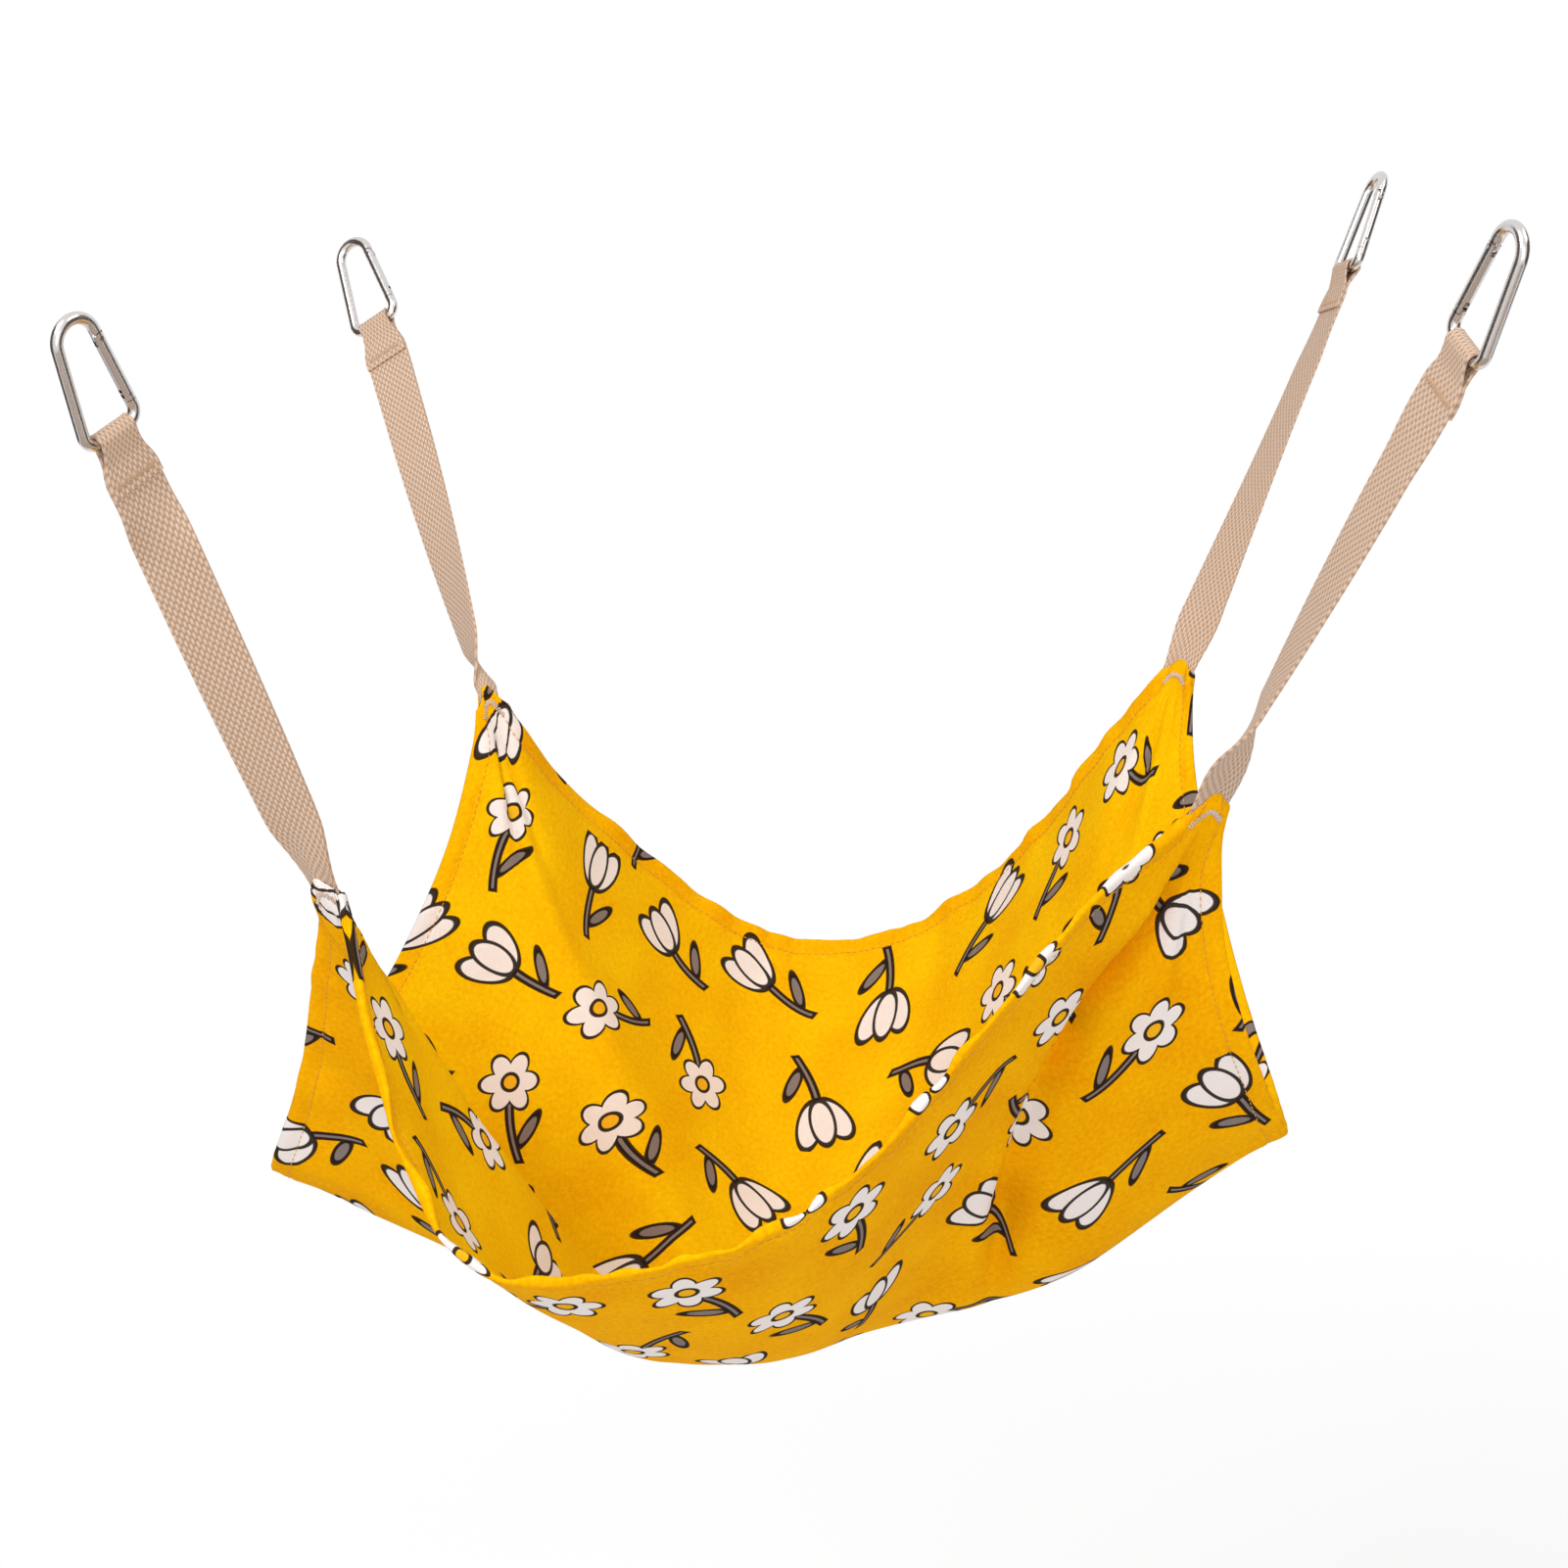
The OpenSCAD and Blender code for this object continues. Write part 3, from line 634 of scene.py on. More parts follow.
@dataclass
class Hanging:
    """Where straps and carabiners hang, in metres and degrees, as the part's source has it."""

    length: float = 0.530
    depth: float = 0.430
    strap_length: float = 0.215
    eye_height: float = 0.0475
    strap_slopes: tuple = (68.5, 57.5, 52, 57.5)
    strap_headings: tuple = (59, 143, -61.5, -142)
    carabiner_slopes: tuple = (65, 60, 53, 61)
    carabiner_headings: tuple = (78, 130, -57.5, -141)
    carabiner_turns: tuple = (114, 108, 51, 24)

    def __post_init__(self) -> None:
        """Works out the directions and places."""
        signs = np.array([corner.signs for corner in Corner])
        hooks = np.c_[signs * [self.length / 2, self.depth / 2], np.zeros(4)]
        self.strap_dirs = self.rays(self.strap_slopes, self.strap_headings)
        self.carabiner_dirs = self.rays(self.carabiner_slopes, self.carabiner_headings)
        self.bars = np.array([
            self.turned(d, a) for d, a in zip(self.carabiner_dirs, self.carabiner_turns)])
        self.bases = hooks + self.eye_height * self.carabiner_dirs
        self.ends = self.bases + self.strap_length * self.strap_dirs

    @staticmethod
    def rays(slopes: tuple, headings: tuple) -> np.ndarray:
        """Directions below level.

        Args:
            slopes: Angles below level.
            headings: Angles seen from above.

        Returns:
            One direction for each pair.
        """
        s, h = np.radians(slopes), np.radians(headings)
        return np.stack([np.cos(s) * np.cos(h), np.cos(s) * np.sin(h), -np.sin(s)], -1)

    @staticmethod
    def turned(d: np.ndarray, angle: float) -> np.ndarray:
        """A direction square to d, turned about it from the level one."""
        level, angle = unit(np.cross([0, 0, 1], d)), math.radians(angle)
        return level * math.cos(angle) + np.cross(d, level) * math.sin(angle)

    @staticmethod
    def turn_of(v: np.ndarray, d: np.ndarray) -> float:
        """The turn about d, in degrees, that v lies at."""
        level = unit(np.cross([0, 0, 1], d))
        return math.degrees(math.atan2(v @ np.cross(d, level), v @ level))


@dataclass
class Sling:
    """The two-layer cloth in the form it takes under load, on the part's own surface."""

    hanging: Hanging
    cloth_length: float = 0.545
    cloth_depth: float = 0.495
    strap_w: float = 0.025
    bowl_drop: float = 0.288
    load_shift: tuple = (-0.019, -0.014)
    rim_leans: tuple = (39, 27.5, 10, -7)
    rim_squares: tuple = (3.3, 2.25, 2.15, 2.55)
    rim_skews: tuple = (0.36, 0.1, -0.3, 0.1)
    lip_flares: tuple = (0, 0, 0.048, 0.047)
    corner_drops: tuple = (0.008, 0.008, 0.011, 0.006)
    corner_pinches: tuple = (0.006, 0.006, 0.0085, 0.005)
    # The cloth bends over each ridge in a round, this share of the cut corner wide.
    fold_rounds: tuple = (0.5, 1.2, 1.6, 1.2)
    # Pleats at each corner: degrees from the ridge, depth in millimetres, reach in metres
    # and half width in degrees.
    pleat_turns: tuple = (
        ((-26, -3.5, 0.10, 8), (-4, 5.0, 0.13, 9), (16, -3.5, 0.10, 8), (32, 3.0, 0.08, 7)),
        ((-32, -3.0, 0.10, 9), (-6, 7.5, 0.17, 10), (17, -3.0, 0.12, 8), (34, 3.0, 0.09, 7)),
        ((-27, -3.5, 0.10, 8), (-8, 4.5, 0.14, 8), (12, -4.0, 0.12, 7), (28, 4.0, 0.09, 7)),
        ((-24, 3.5, 0.09, 8), (-7, -4.0, 0.12, 7), (11, 4.5, 0.12, 8), (29, -3.5, 0.08, 7)))
    # Long creases: the corner, places along and beside its ridge, the depth, the ends along
    # the ridge and the half width, in millimetres.
    creases: tuple = (
        (Corner.FRONT_RIGHT, ((13, 10), (31, -3), (46, -13), (92, -16), (135, -9), (198, 27)),
         14.0, (8, 238), 12.0),)
    crease_ramps: tuple = (40, 85)
    # A pleat wanders by some degrees on its way, and starts a little inside the corner.
    pleat_wander: tuple = (9, 14)
    pleat_start: float = 0.05
    # Slack cloth in long and short waves, and puckers along the hems, in waves to a metre.
    slack_waves: tuple = (11, 27)
    slack_height: float = 0.004
    pucker_waves: float = 62
    pucker_height: float = 0.003
    pucker_reach: float = 0.016
    # Powers and reaches of the rule for the hanging form, which the part's solids follow too.
    sag_share: float = 1.1
    hang_power: float = 1.12
    out_power: float = 2.1
    flare_power: float = 6
    bowl_power: float = 1.9
    sag_power: float = 1.56
    bowl_reach: float = 0.75
    fold_rate: float = 1.5
    fold_from: float = 0.5
    fold_run: float = 0.42
    # Metres of cloth to one flat unit: along a corner's ridge, at a hem and inside it.
    ridge_unit: float = 0.62
    hem_unit: float = 0.36
    inner_unit: float = 0.33
    cells: int = 150
    soft_passes: int = 8
    cloth_thickness: float = 0.0003
    # Grid lines along the hem, and the seam's half thickness at distances from the edge.
    hem_mm: tuple = (
        0.0, 0.5, 1.1, 2.0, 3.2, 5.0, 7.0, 8.4, 9.1, 9.6, 10.2, 11.2, 13.0, 15.5, 18.5)
    seam_at_mm: tuple = (0, 0.4, 1.1, 2.0, 3.6, 6.0, 8.4, 9.6, 10.8, 13, 17)
    seam_half_mm: tuple = (0, 0.85, 1.35, 1.65, 1.75, 1.55, 0.95, 0.45, 0.85, 1.05, 0.9)
    puff: float = 1.2
    webbing_half_mm: float = 0.75
    # The topstitch: its distance from the edge, its pitch and how far it stops short of an end.
    stitch_inset: float = 0.0096
    stitch_pitch: float = 0.0035
    stitch_stop: float = 0.034
    # The bar tack: its distance from the cut edge, half its width, its stitches and their slant.
    tack_inset: float = 0.008
    tack_half: float = 0.0082
    tack_count: int = 19
    tack_slant: float = 0.22

    def __post_init__(self) -> None:
        """Works out the cloth's surface, its normals and its flat-cut map on a grid."""
        e = self.hanging.ends
        self.spans = np.linalg.norm([e[1] - e[0], e[3] - e[2], e[2] - e[0], e[3] - e[1]], axis=1)
        lengths = np.array([self.cloth_length] * 2 + [self.cloth_depth] * 2)
        self.sags = np.sqrt(np.maximum(lengths ** 2 - self.spans ** 2, 1e-6)) / 2 / self.sag_share
        self.cut = self.strap_w / (np.hypot(self.spans[:2].sum(), self.spans[2:].sum()) / 4)
        self.tip = 1 - self.cut / 2
        self.lines = self.grid_lines()
        u, v = np.meshgrid(self.lines, self.lines, indexing="ij")
        self.mid = self.spot(u, v)
        self.soften(self.soft_passes)
        self.mid = self.mid + self.normals(self.mid) * self.wrinkles(u, v)[..., None]
        self.up = self.normals(self.mid)
        self.flat = np.stack([self.arc(0), self.arc(1)], -1)
        x, y = self.flat[..., 0], self.flat[..., 1]
        self.rim = np.minimum.reduce([x - x[:1], x[-1:] - x, y - y[:, :1], y[:, -1:] - y])
        self.from_cut = (self.tip - (abs(u) + abs(v)) / 2) * self.ridge_unit

    def grid_lines(self) -> np.ndarray:
        """Spaces the grid, with lines close together along the hems.

        Returns:
            Flat coordinates from -1 to 1.
        """
        hem = 1 - np.array(self.hem_mm) * MM / self.hem_unit
        inner = np.linspace(-hem[-1], hem[-1], self.cells)
        return np.concatenate([-hem[:-1], inner, hem[:-1][::-1]])

    def spot(self, u: np.ndarray, v: np.ndarray) -> np.ndarray:
        """Points of the cloth, by the same rule as the part's solids.

        Args:
            u: Flat coordinates from left to right, -1 to 1.
            v: Flat coordinates from front to back, -1 to 1.

        Returns:
            Points in metres.
        """
        e, squares = self.hanging.ends, np.array(self.rim_squares)
        leans, skews = np.radians(self.rim_leans), np.array(self.rim_skews)
        flares = np.array(self.lip_flares)
        r = np.maximum(np.maximum(abs(u), abs(v)), 1e-6)
        front_back = abs(v) >= abs(u)
        t = np.where(front_back, u, v) / r
        k = np.where(front_back, np.where(v < 0, 0, 1), np.where(u < 0, 2, 3))
        rho = r * (1 + np.maximum(abs(t), 1 - self.cut)) / 2 / self.tip
        inner = np.clip(t / (1 - self.cut), -1, 1)
        shifted = inner + skews[k] * (1 - inner ** 2)
        hang = np.clip(1 - abs(shifted) ** squares[k], 0, None) ** self.hang_power
        a, b = ((1 + u / self.tip) / 2)[..., None], ((1 + v / self.tip) / 2)[..., None]
        point = (1 - b) * ((1 - a) * e[0] + a * e[1]) + b * ((1 - a) * e[2] + a * e[3])
        corner = np.where(u < 0, 0, 1) + np.where(v < 0, 0, 2)
        bend = np.array(self.fold_rounds)[corner]
        beside = (np.hypot((abs(u) - abs(v)) / self.cut, bend) - bend) / (np.hypot(1, bend) - bend)
        fold = (1 - np.exp(-self.fold_rate * beside)) / (1 - math.exp(-self.fold_rate))
        fold = fold * smooth((np.minimum(abs(u), abs(v)) - self.fold_from) / self.fold_run)
        out = self.sags[k] * np.sin(leans[k]) * hang * r ** self.out_power
        out = out + flares[k] * hang ** 2 * r ** self.flare_power
        out = out - np.array(self.corner_pinches)[corner] * fold
        bottom = e[:, 2].mean() - self.bowl_drop
        height = point[..., 2] - bottom
        bowl = height * (np.hypot(u, v) / math.sqrt(2)) ** self.bowl_power
        ridge = height * rho ** self.bowl_power
        ridge = ridge - self.sags[k] * np.cos(leans[k]) * hang * r ** self.sag_power
        ridge = ridge - np.array(self.corner_drops)[corner] * fold
        outward = np.array([[0, -1], [0, 1], [-1, 0], [1, 0]])[k]
        shift = np.array(self.load_shift) * (1 - rho ** 2)[..., None]
        point[..., :2] += outward * out[..., None] + shift
        point[..., 2] = bottom + bowl + (ridge - bowl) * smooth(r / self.bowl_reach)
        return point

    @staticmethod
    def normals(grid: np.ndarray) -> np.ndarray:
        """Upward normals of a grid of points."""
        return unit(np.cross(np.gradient(grid, axis=0), np.gradient(grid, axis=1)))

    def soften(self, times: int) -> None:
        """Rounds the ridges, moving points only along their normals.

        Args:
            times: Number of passes.
        """
        for _ in range(times):
            m = self.mid
            mean = (m[2:, 1:-1] + m[:-2, 1:-1] + m[1:-1, 2:] + m[1:-1, :-2]) / 4
            n = self.normals(m)[1:-1, 1:-1]
            step = ((mean - m[1:-1, 1:-1]) * n).sum(-1, keepdims=True) * n
            self.mid = m.copy()
            self.mid[1:-1, 1:-1] += 0.6 * step

    def wrinkles(self, u: np.ndarray, v: np.ndarray) -> np.ndarray:
        """Small folds: pleats that fan out from the corners, slack cloth and puckered hems.

        Args:
            u: Flat coordinates from left to right.
            v: Flat coordinates from front to back.

        Returns:
            Heights in metres.
        """
        x, y = u * self.cloth_length / 2, v * self.cloth_depth / 2
        height = np.zeros_like(u)
        for corner, turns in zip(Corner, self.pleat_turns):
            sx, sy = corner.signs
            dx = sx * (sx * self.tip * self.cloth_length / 2 - x)
            dy = sy * (sy * self.tip * self.cloth_depth / 2 - y)
            away, angle = np.hypot(dx, dy), np.degrees(np.arctan2(dy, dx)) - 45
            for turn, depth, reach, width in turns:
                wander, rate = self.pleat_wander
                bow = (angle - turn + wander * np.sin(away * rate + turn)) / width
                start = smooth(away / self.pleat_start)
                height += depth * MM * np.exp(-bow ** 2 - away / reach) * start
            along, beside = (away / MM * f(np.radians(angle)) for f in (np.cos, np.sin))
            for owner, path, depth, (start, end), width in self.creases:
                if owner is corner:
                    off = (beside - np.polyval(np.polyfit(*zip(*path), 3), along)) / width
                    rise, fall = self.crease_ramps
                    ends = smooth((along - start) / rise) * smooth((end - along) / fall)
                    height += depth * MM * np.exp(-off ** 2) * ends
        broad, pucker = np.zeros_like(u), np.zeros_like(u)
        long_waves, short_waves = self.slack_waves
        for index in np.ndindex(u.shape):
            p = Vector((x[index], y[index], 0.4))
            broad[index] = noise.noise(p * long_waves) + 0.5 * noise.noise(p * short_waves)
            pucker[index] = noise.noise(p * self.pucker_waves)
        rim = np.minimum((1 - abs(u)) * self.inner_unit, (1 - abs(v)) * self.inner_unit)
        loose = smooth((np.maximum(abs(u), abs(v)) - 0.25) / 0.5)
        self.pucker = pucker
        hems = self.pucker_height * pucker * np.exp(-rim / self.pucker_reach)
        return height + self.slack_height * broad * loose + hems

    def arc(self, axis: int) -> np.ndarray:
        """Signed lengths along the cloth from its middle line.

        Args:
            axis: 0 from left to right, 1 from front to back.

        Returns:
            Lengths in metres at each point of the grid.
        """
        steps = np.linalg.norm(np.diff(self.mid, axis=axis), axis=-1)
        pad = [(1, 0), (0, 0)] if axis == 0 else [(0, 0), (1, 0)]
        run = np.cumsum(np.pad(steps, pad), axis=axis)
        half = len(self.lines) // 2
        middle = (np.take(run, [half - 1], axis) + np.take(run, [half], axis)) / 2
        return run - middle

    def height(self) -> np.ndarray:
        """How far a layer's face lies from the middle of the cloth.

        The turned seam is thick along the edge, the topstitch pulls it flat, and the webbing
        fills the corners.

        Returns:
            Distances in metres at each point of the grid.
        """
        rim, cut = self.rim / MM, self.from_cut / MM
        seam = np.interp(rim, self.seam_at_mm, self.seam_half_mm)
        puffed = 1 + self.puff * self.pucker * smooth(rim / 1.5) * smooth((9 - rim) / 4)
        webbing = self.webbing_half_mm * smooth(rim / 4) * smooth((40 - cut) / 16)
        return (seam * puffed + webbing) * (0.5 + 0.5 * smooth(cut / 1.6)) * MM

    def sample(self, grid: np.ndarray, u: np.ndarray, v: np.ndarray) -> np.ndarray:
        """Reads a grid of values between its lines.

        Args:
            grid: Values at the grid's points.
            u: Flat coordinates from left to right.
            v: Flat coordinates from front to back.

        Returns:
            Values at those coordinates.
        """
        i = np.clip(np.searchsorted(self.lines, u) - 1, 0, len(self.lines) - 2)
        j = np.clip(np.searchsorted(self.lines, v) - 1, 0, len(self.lines) - 2)
        a = (u - self.lines[i]) / (self.lines[i + 1] - self.lines[i])
        b = (v - self.lines[j]) / (self.lines[j + 1] - self.lines[j])
        if grid.ndim == 3:
            a, b = a[..., None], b[..., None]
        return ((1 - a) * (1 - b) * grid[i, j] + a * (1 - b) * grid[i + 1, j]
                + (1 - a) * b * grid[i, j + 1] + a * b * grid[i + 1, j + 1])

    def face(self, layer: Layer) -> np.ndarray:
        """Points of one layer's outside face on the grid."""
        return self.mid + layer.value * self.up * self.height()[..., None]

    def build(self, layer: Layer) -> bpy.types.Object:
        """Makes one layer as a sheet with cut corners and a turned hem.

        Args:
            layer: Which of the two layers.

        Returns:
            The piece.
        """
        bm = bmesh.new()
        n = len(self.lines) - 1
        bmesh.ops.create_grid(bm, x_segments=n, y_segments=n, size=1)
        for vert in bm.verts:
            vert.co.x = self.lines[round((vert.co.x + 1) / 2 * n)]
            vert.co.y = self.lines[round((vert.co.y + 1) / 2 * n)]
        for corner in Corner:
            sx, sy = corner.signs
            bmesh.ops.bisect_plane(
                bm, geom=bm.verts[:] + bm.edges[:] + bm.faces[:], dist=1e-6,
                plane_co=(sx * self.tip, sy * self.tip, 0), plane_no=(sx, sy, 0), clear_outer=True)
        bmesh.ops.remove_doubles(bm, verts=bm.verts[:], dist=1e-5)
        if layer is Layer.OUTER:
            bmesh.ops.reverse_faces(bm, faces=bm.faces[:])
        u, v = np.array([vert.co[:2] for vert in bm.verts]).T
        places = self.sample(self.face(layer), u, v)
        flat = self.sample(self.flat, u, v) + 0.5
        rim = np.minimum(self.sample(self.rim, u, v), self.sample(self.from_cut, u, v)) / MM
        bm.verts.index_update()
        layer_uv = bm.loops.layers.uv.new("flat_cut")
        layer_rim = bm.verts.layers.float.new("rim_mm")
        for vert in bm.verts:
            vert.co = places[vert.index]
            vert[layer_rim] = rim[vert.index]
        for face in bm.faces:
            for loop in face.loops:
                loop[layer_uv].uv = flat[loop.vert.index]
        piece = new_piece(f"sling_{layer.name.lower()}_layer", bm)
        thick = piece.modifiers.new("cloth thickness", "SOLIDIFY")
        thick.thickness, thick.offset = self.cloth_thickness, -1
        # The inner layer takes the lining, which is painted paler as painted light.
        (CANVAS if layer is Layer.OUTER else LINING_PAINTED_PALER).dress(piece)
        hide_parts(layer.node)
        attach(piece, "sling")
        return piece

    def stitch(self, layer: Layer) -> bpy.types.Object:
        """Sews the topstitch along the hems of one layer.

        Args:
            layer: Which of the two layers.

        Returns:
            The piece.
        """
        bm = bmesh.new()
        face = self.face(layer)
        x, y = self.flat[..., 0], self.flat[..., 1]
        lines, forth, back = range(len(self.lines)), slice(None), slice(None, None, -1)
        edges = ([(y[i] - y[i, 0], i, forth) for i in lines],
                 [((y[i, -1] - y[i])[::-1], i, back) for i in lines],
                 [(x[:, j] - x[0, j], forth, j) for j in lines],
                 [((x[-1, j] - x[:, j])[::-1], back, j) for j in lines])
        for edge in edges:
            path, side = (np.array([
                [np.interp(self.stitch_inset, depths, grid[i, j][:, k]) for k in range(3)]
                for depths, i, j in edge]) for grid in (face, self.up))
            side = unit(side)
            run = np.r_[0, np.cumsum(np.linalg.norm(np.diff(path, axis=0), axis=1))]
            for s in np.arange(self.stitch_stop, run[-1] - self.stitch_stop, self.stitch_pitch):
                at, ahead = (np.array([np.interp(s + d, run, path[:, k]) for k in range(3)])
                             for d in (0, MM))
                up = unit(np.array([np.interp(s, run, side[:, k]) for k in range(3)])) * layer.value
                HEM_STITCH.lay(bm, at, unit(ahead - at), up)
        piece = new_piece(f"hem_stitch_{layer.name.lower()}", bm)
        HEM_THREAD.dress(piece)
        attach(piece, "sling")
        return piece

    def corner_tack(self, corner: Corner) -> bpy.types.Object:
        """Sews the bar tack through both layers of a corner.

        Args:
            corner: Which corner.

        Returns:
            The piece.
        """
        bm = bmesh.new()
        sx, sy = corner.signs
        for layer in Layer:
            middle = self.tip - self.tack_inset / self.ridge_unit
            lateral = np.linspace(-self.tack_half, self.tack_half, self.tack_count)
            u = sx * middle + sx * lateral * self.cut / self.strap_w
            v = sy * middle - sy * lateral * self.cut / self.strap_w
            at = self.sample(self.face(layer), u, v)
            up = unit(self.sample(self.up, u, v)) * layer.value
            along = unit(np.gradient(at, axis=0))
            for k in range(len(at)):
                slant = self.tack_slant if k % 2 else -self.tack_slant
                across = unit(np.cross(up[k], along[k]) + slant * along[k])
                TACK_STITCH.lay(bm, at[k], across, up[k])
        piece = new_piece(f"bar_tack_{corner.word}", bm)
        TACK_THREAD.dress(piece)
        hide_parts(f"corner_tack_{corner.word}")
        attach(piece, "sling")
        return piece


@dataclass
class Strap:
    """One strap: sewn end, twisted run, loop round the carabiner's bar and folded end."""

    corner: Corner
    hanging: Hanging
    sling: Sling
    width: float = 0.025
    thickness: float = 0.0013
    high_turns: tuple = (128, 125, 50, 18)
    low_turns: tuple = (154, 146, 91, -6)
    foot_turns: tuple = (176, 196, 180, -26)
    low_shares: tuple = (0.78, 0.74, 0.93, 0.8)
    # Share of the cut corner that the gathered foot takes up.
    foot_shares: tuple = (0.86, 0.9, 0.62, 0.94)
    loop_w: float = 0.0174
    loop_neck: float = 0.010
    fold_back: float = 0.013
    seam_gap: float = 0.0006
    rod_r: float = 0.0025
    loop_clear: float = 0.0003
    fold_gap: float = 0.00005
    bar_half: float = 0.0073
    base_bend: float = 0.0055
    high_share: float = 0.15
    gather_share: float = 0.86
    sewn_length: float = 0.024
    turn_power: float = 1.5
    selvedge_r: float = 0.00042
    # Places across the band, and rows in its sewn, free, folded and bent lengths.
    columns: int = 14
    sewn_rows: int = 14
    free_rows: int = 90
    fold_rows: int = 12
    bend_rows: int = 15
    # The bar tack: half its width, its stitches and their slant.
    tack_half: float = 0.0096
    tack_count: int = 21
    tack_slant: float = 0.25

    def __post_init__(self) -> None:
        """Works out the strap's own directions."""
        i = self.corner.value
        h = self.hanging
        self.base, self.bar, self.direction = h.bases[i], h.bars[i], h.strap_dirs[i]
        self.lift = -h.carabiner_dirs[i]
        self.down = unit(self.direction - self.bar * (self.direction @ self.bar))
        self.over = np.cross(self.bar, self.down)
        self.half = (self.thickness + self.fold_gap) / 2
        self.foot = h.ends[i] - self.direction * self.seam_gap
        self.start = self.in_loop(self.loop_neck + self.fold_back + self.width / 4, self.half)
        self.run = unit(self.foot - self.start)
        edge = self.sewn_row(0.0)
        self.cut_dir = unit(edge[-1] - edge[0])
        self.inward = unit(self.sewn_row(self.sewn_length).mean(0) - edge.mean(0))

    def in_loop(self, along: float, over: float) -> np.ndarray:
        """A point in the strap's frame at the bar."""
        return self.base + self.down * along + self.over * over

    def shares(self) -> np.ndarray:
        """Places across the band, from -1 to 1."""
        return np.linspace(-1, 1, self.columns + 1)

    def sewn_row(self, depth: float) -> np.ndarray:
        """A row of the band between the layers, folded over the ridge as they are.

        Args:
            depth: Distance inside the cut edge.

        Returns:
            Points across the band.
        """
        sx, sy = self.corner.signs
        share = self.shares() * self.foot_shares[self.corner.value] * self.sling.cut / 2
        middle = self.sling.tip - depth / self.sling.ridge_unit
        return self.sling.sample(self.sling.mid, sx * (middle - share), sy * (middle + share))

    def turn(self, t: float) -> float:
        """The band's turn about its length.

        Args:
            t: Share of the free length, from the folded end down to the cloth.

        Returns:
            The turn in degrees.
        """
        i = self.corner.value
        high, low, last = self.high_turns[i], self.low_turns[i], self.low_shares[i]
        if t < self.high_share:
            top = self.nearest(self.hanging.turn_of(self.bar, self.run), high)
            return top + (high - top) * float(smooth(t / self.high_share))
        if t < last:
            share = (t - self.high_share) / (last - self.high_share)
            return high + (low - high) * share ** self.turn_power
        end = self.nearest(self.hanging.turn_of(self.cut_dir, self.run), self.foot_turns[i])
        return low + (end - low) * float(smooth((t - last) / (1 - last)))

    @staticmethod
    def nearest(angle: float, guide: float) -> float:
        """The half turn of an angle that lies nearest to a guide."""
        return guide + (angle - guide + 90) % 180 - 90

    def rows(self) -> list[np.ndarray]:
        """Sets out rows of points across the band.

        Returns:
            The rows, from its sewn end to its folded end.
        """
        shares = self.shares()[:, None]
        edge = self.sewn_row(0.0)
        foot_side = self.hanging.turned(self.run, self.turn(1.0))
        sense = 1 if foot_side @ (edge[-1] - edge[0]) > 0 else -1
        depths = np.linspace(self.sewn_length, 0.5 * MM, self.sewn_rows)
        rows = [self.sewn_row(depth)[::sense] for depth in depths]
        for t in np.linspace(1, 0, self.free_rows):
            middle = self.start + (self.foot - self.start) * t
            flat = middle + shares * self.width / 2 * self.hanging.turned(self.run, self.turn(t))
            ridged = edge[::sense] - self.hanging.ends[self.corner.value] + middle
            gather = float(smooth((t - self.gather_share) / (1 - self.gather_share)))
            rows.append(flat + (ridged - flat) * gather)
        reach = self.rod_r + self.loop_clear + self.thickness / 2
        slope = math.acos(reach / math.hypot(self.loop_neck, self.half))
        wrap = math.atan2(self.half, self.loop_neck) + slope
        touch = reach * np.array([math.cos(wrap), math.sin(wrap)])
        neck = np.array([self.loop_neck, self.half])
        folded = np.linspace(self.loop_neck + self.fold_back, self.loop_neck, self.fold_rows)
        bent = np.linspace(wrap, math.pi, self.bend_rows)
        straight = [(along, self.half, 0.0, wrap) for along in folded]
        leaning = [(*(neck + (touch - neck) * t), float(smooth(t)), wrap)
                   for t in (0.25, 0.5, 0.75)]
        round_bar = [(reach * math.cos(a), reach * math.sin(a), 1.0, a) for a in bent]
        half = straight + leaning + round_bar
        back = [(along, -over, follow, -angle) for along, over, follow, angle in half[-2::-1]]
        return rows + [self.loop_row(*place) for place in half + back]

    def loop_row(self, along: float, over: float, follow: float, angle: float) -> np.ndarray:
        """A row of the band near the bar, which rides up on the rod's bends.

        Args:
            along: Distance below the bar.
            over: Distance to the side.
            follow: How much the row follows the bends.
            angle: Where the row lies about the rod.

        Returns:
            Points across the band.
        """
        across = self.shares() * self.loop_width(along) / 2
        past = np.clip(abs(across) - self.bar_half, 0, self.base_bend * 0.9)
        level = np.sqrt(self.base_bend ** 2 - past ** 2)
        away = self.down * math.cos(angle) + self.over * math.sin(angle)
        rise = self.lift * (self.base_bend - level)[:, None]
        wider = away * (self.rod_r * (self.base_bend / level - 1))[:, None]
        return self.in_loop(along, over) + self.bar * across[:, None] + (rise + wider) * follow

    def loop_width(self, along: float) -> float:
        """The band's width, which is gathered on the bar."""
        share = float(smooth((along - self.rod_r) / (self.loop_neck + self.fold_back / 2)))
        return self.loop_w + (self.width - self.loop_w) * share

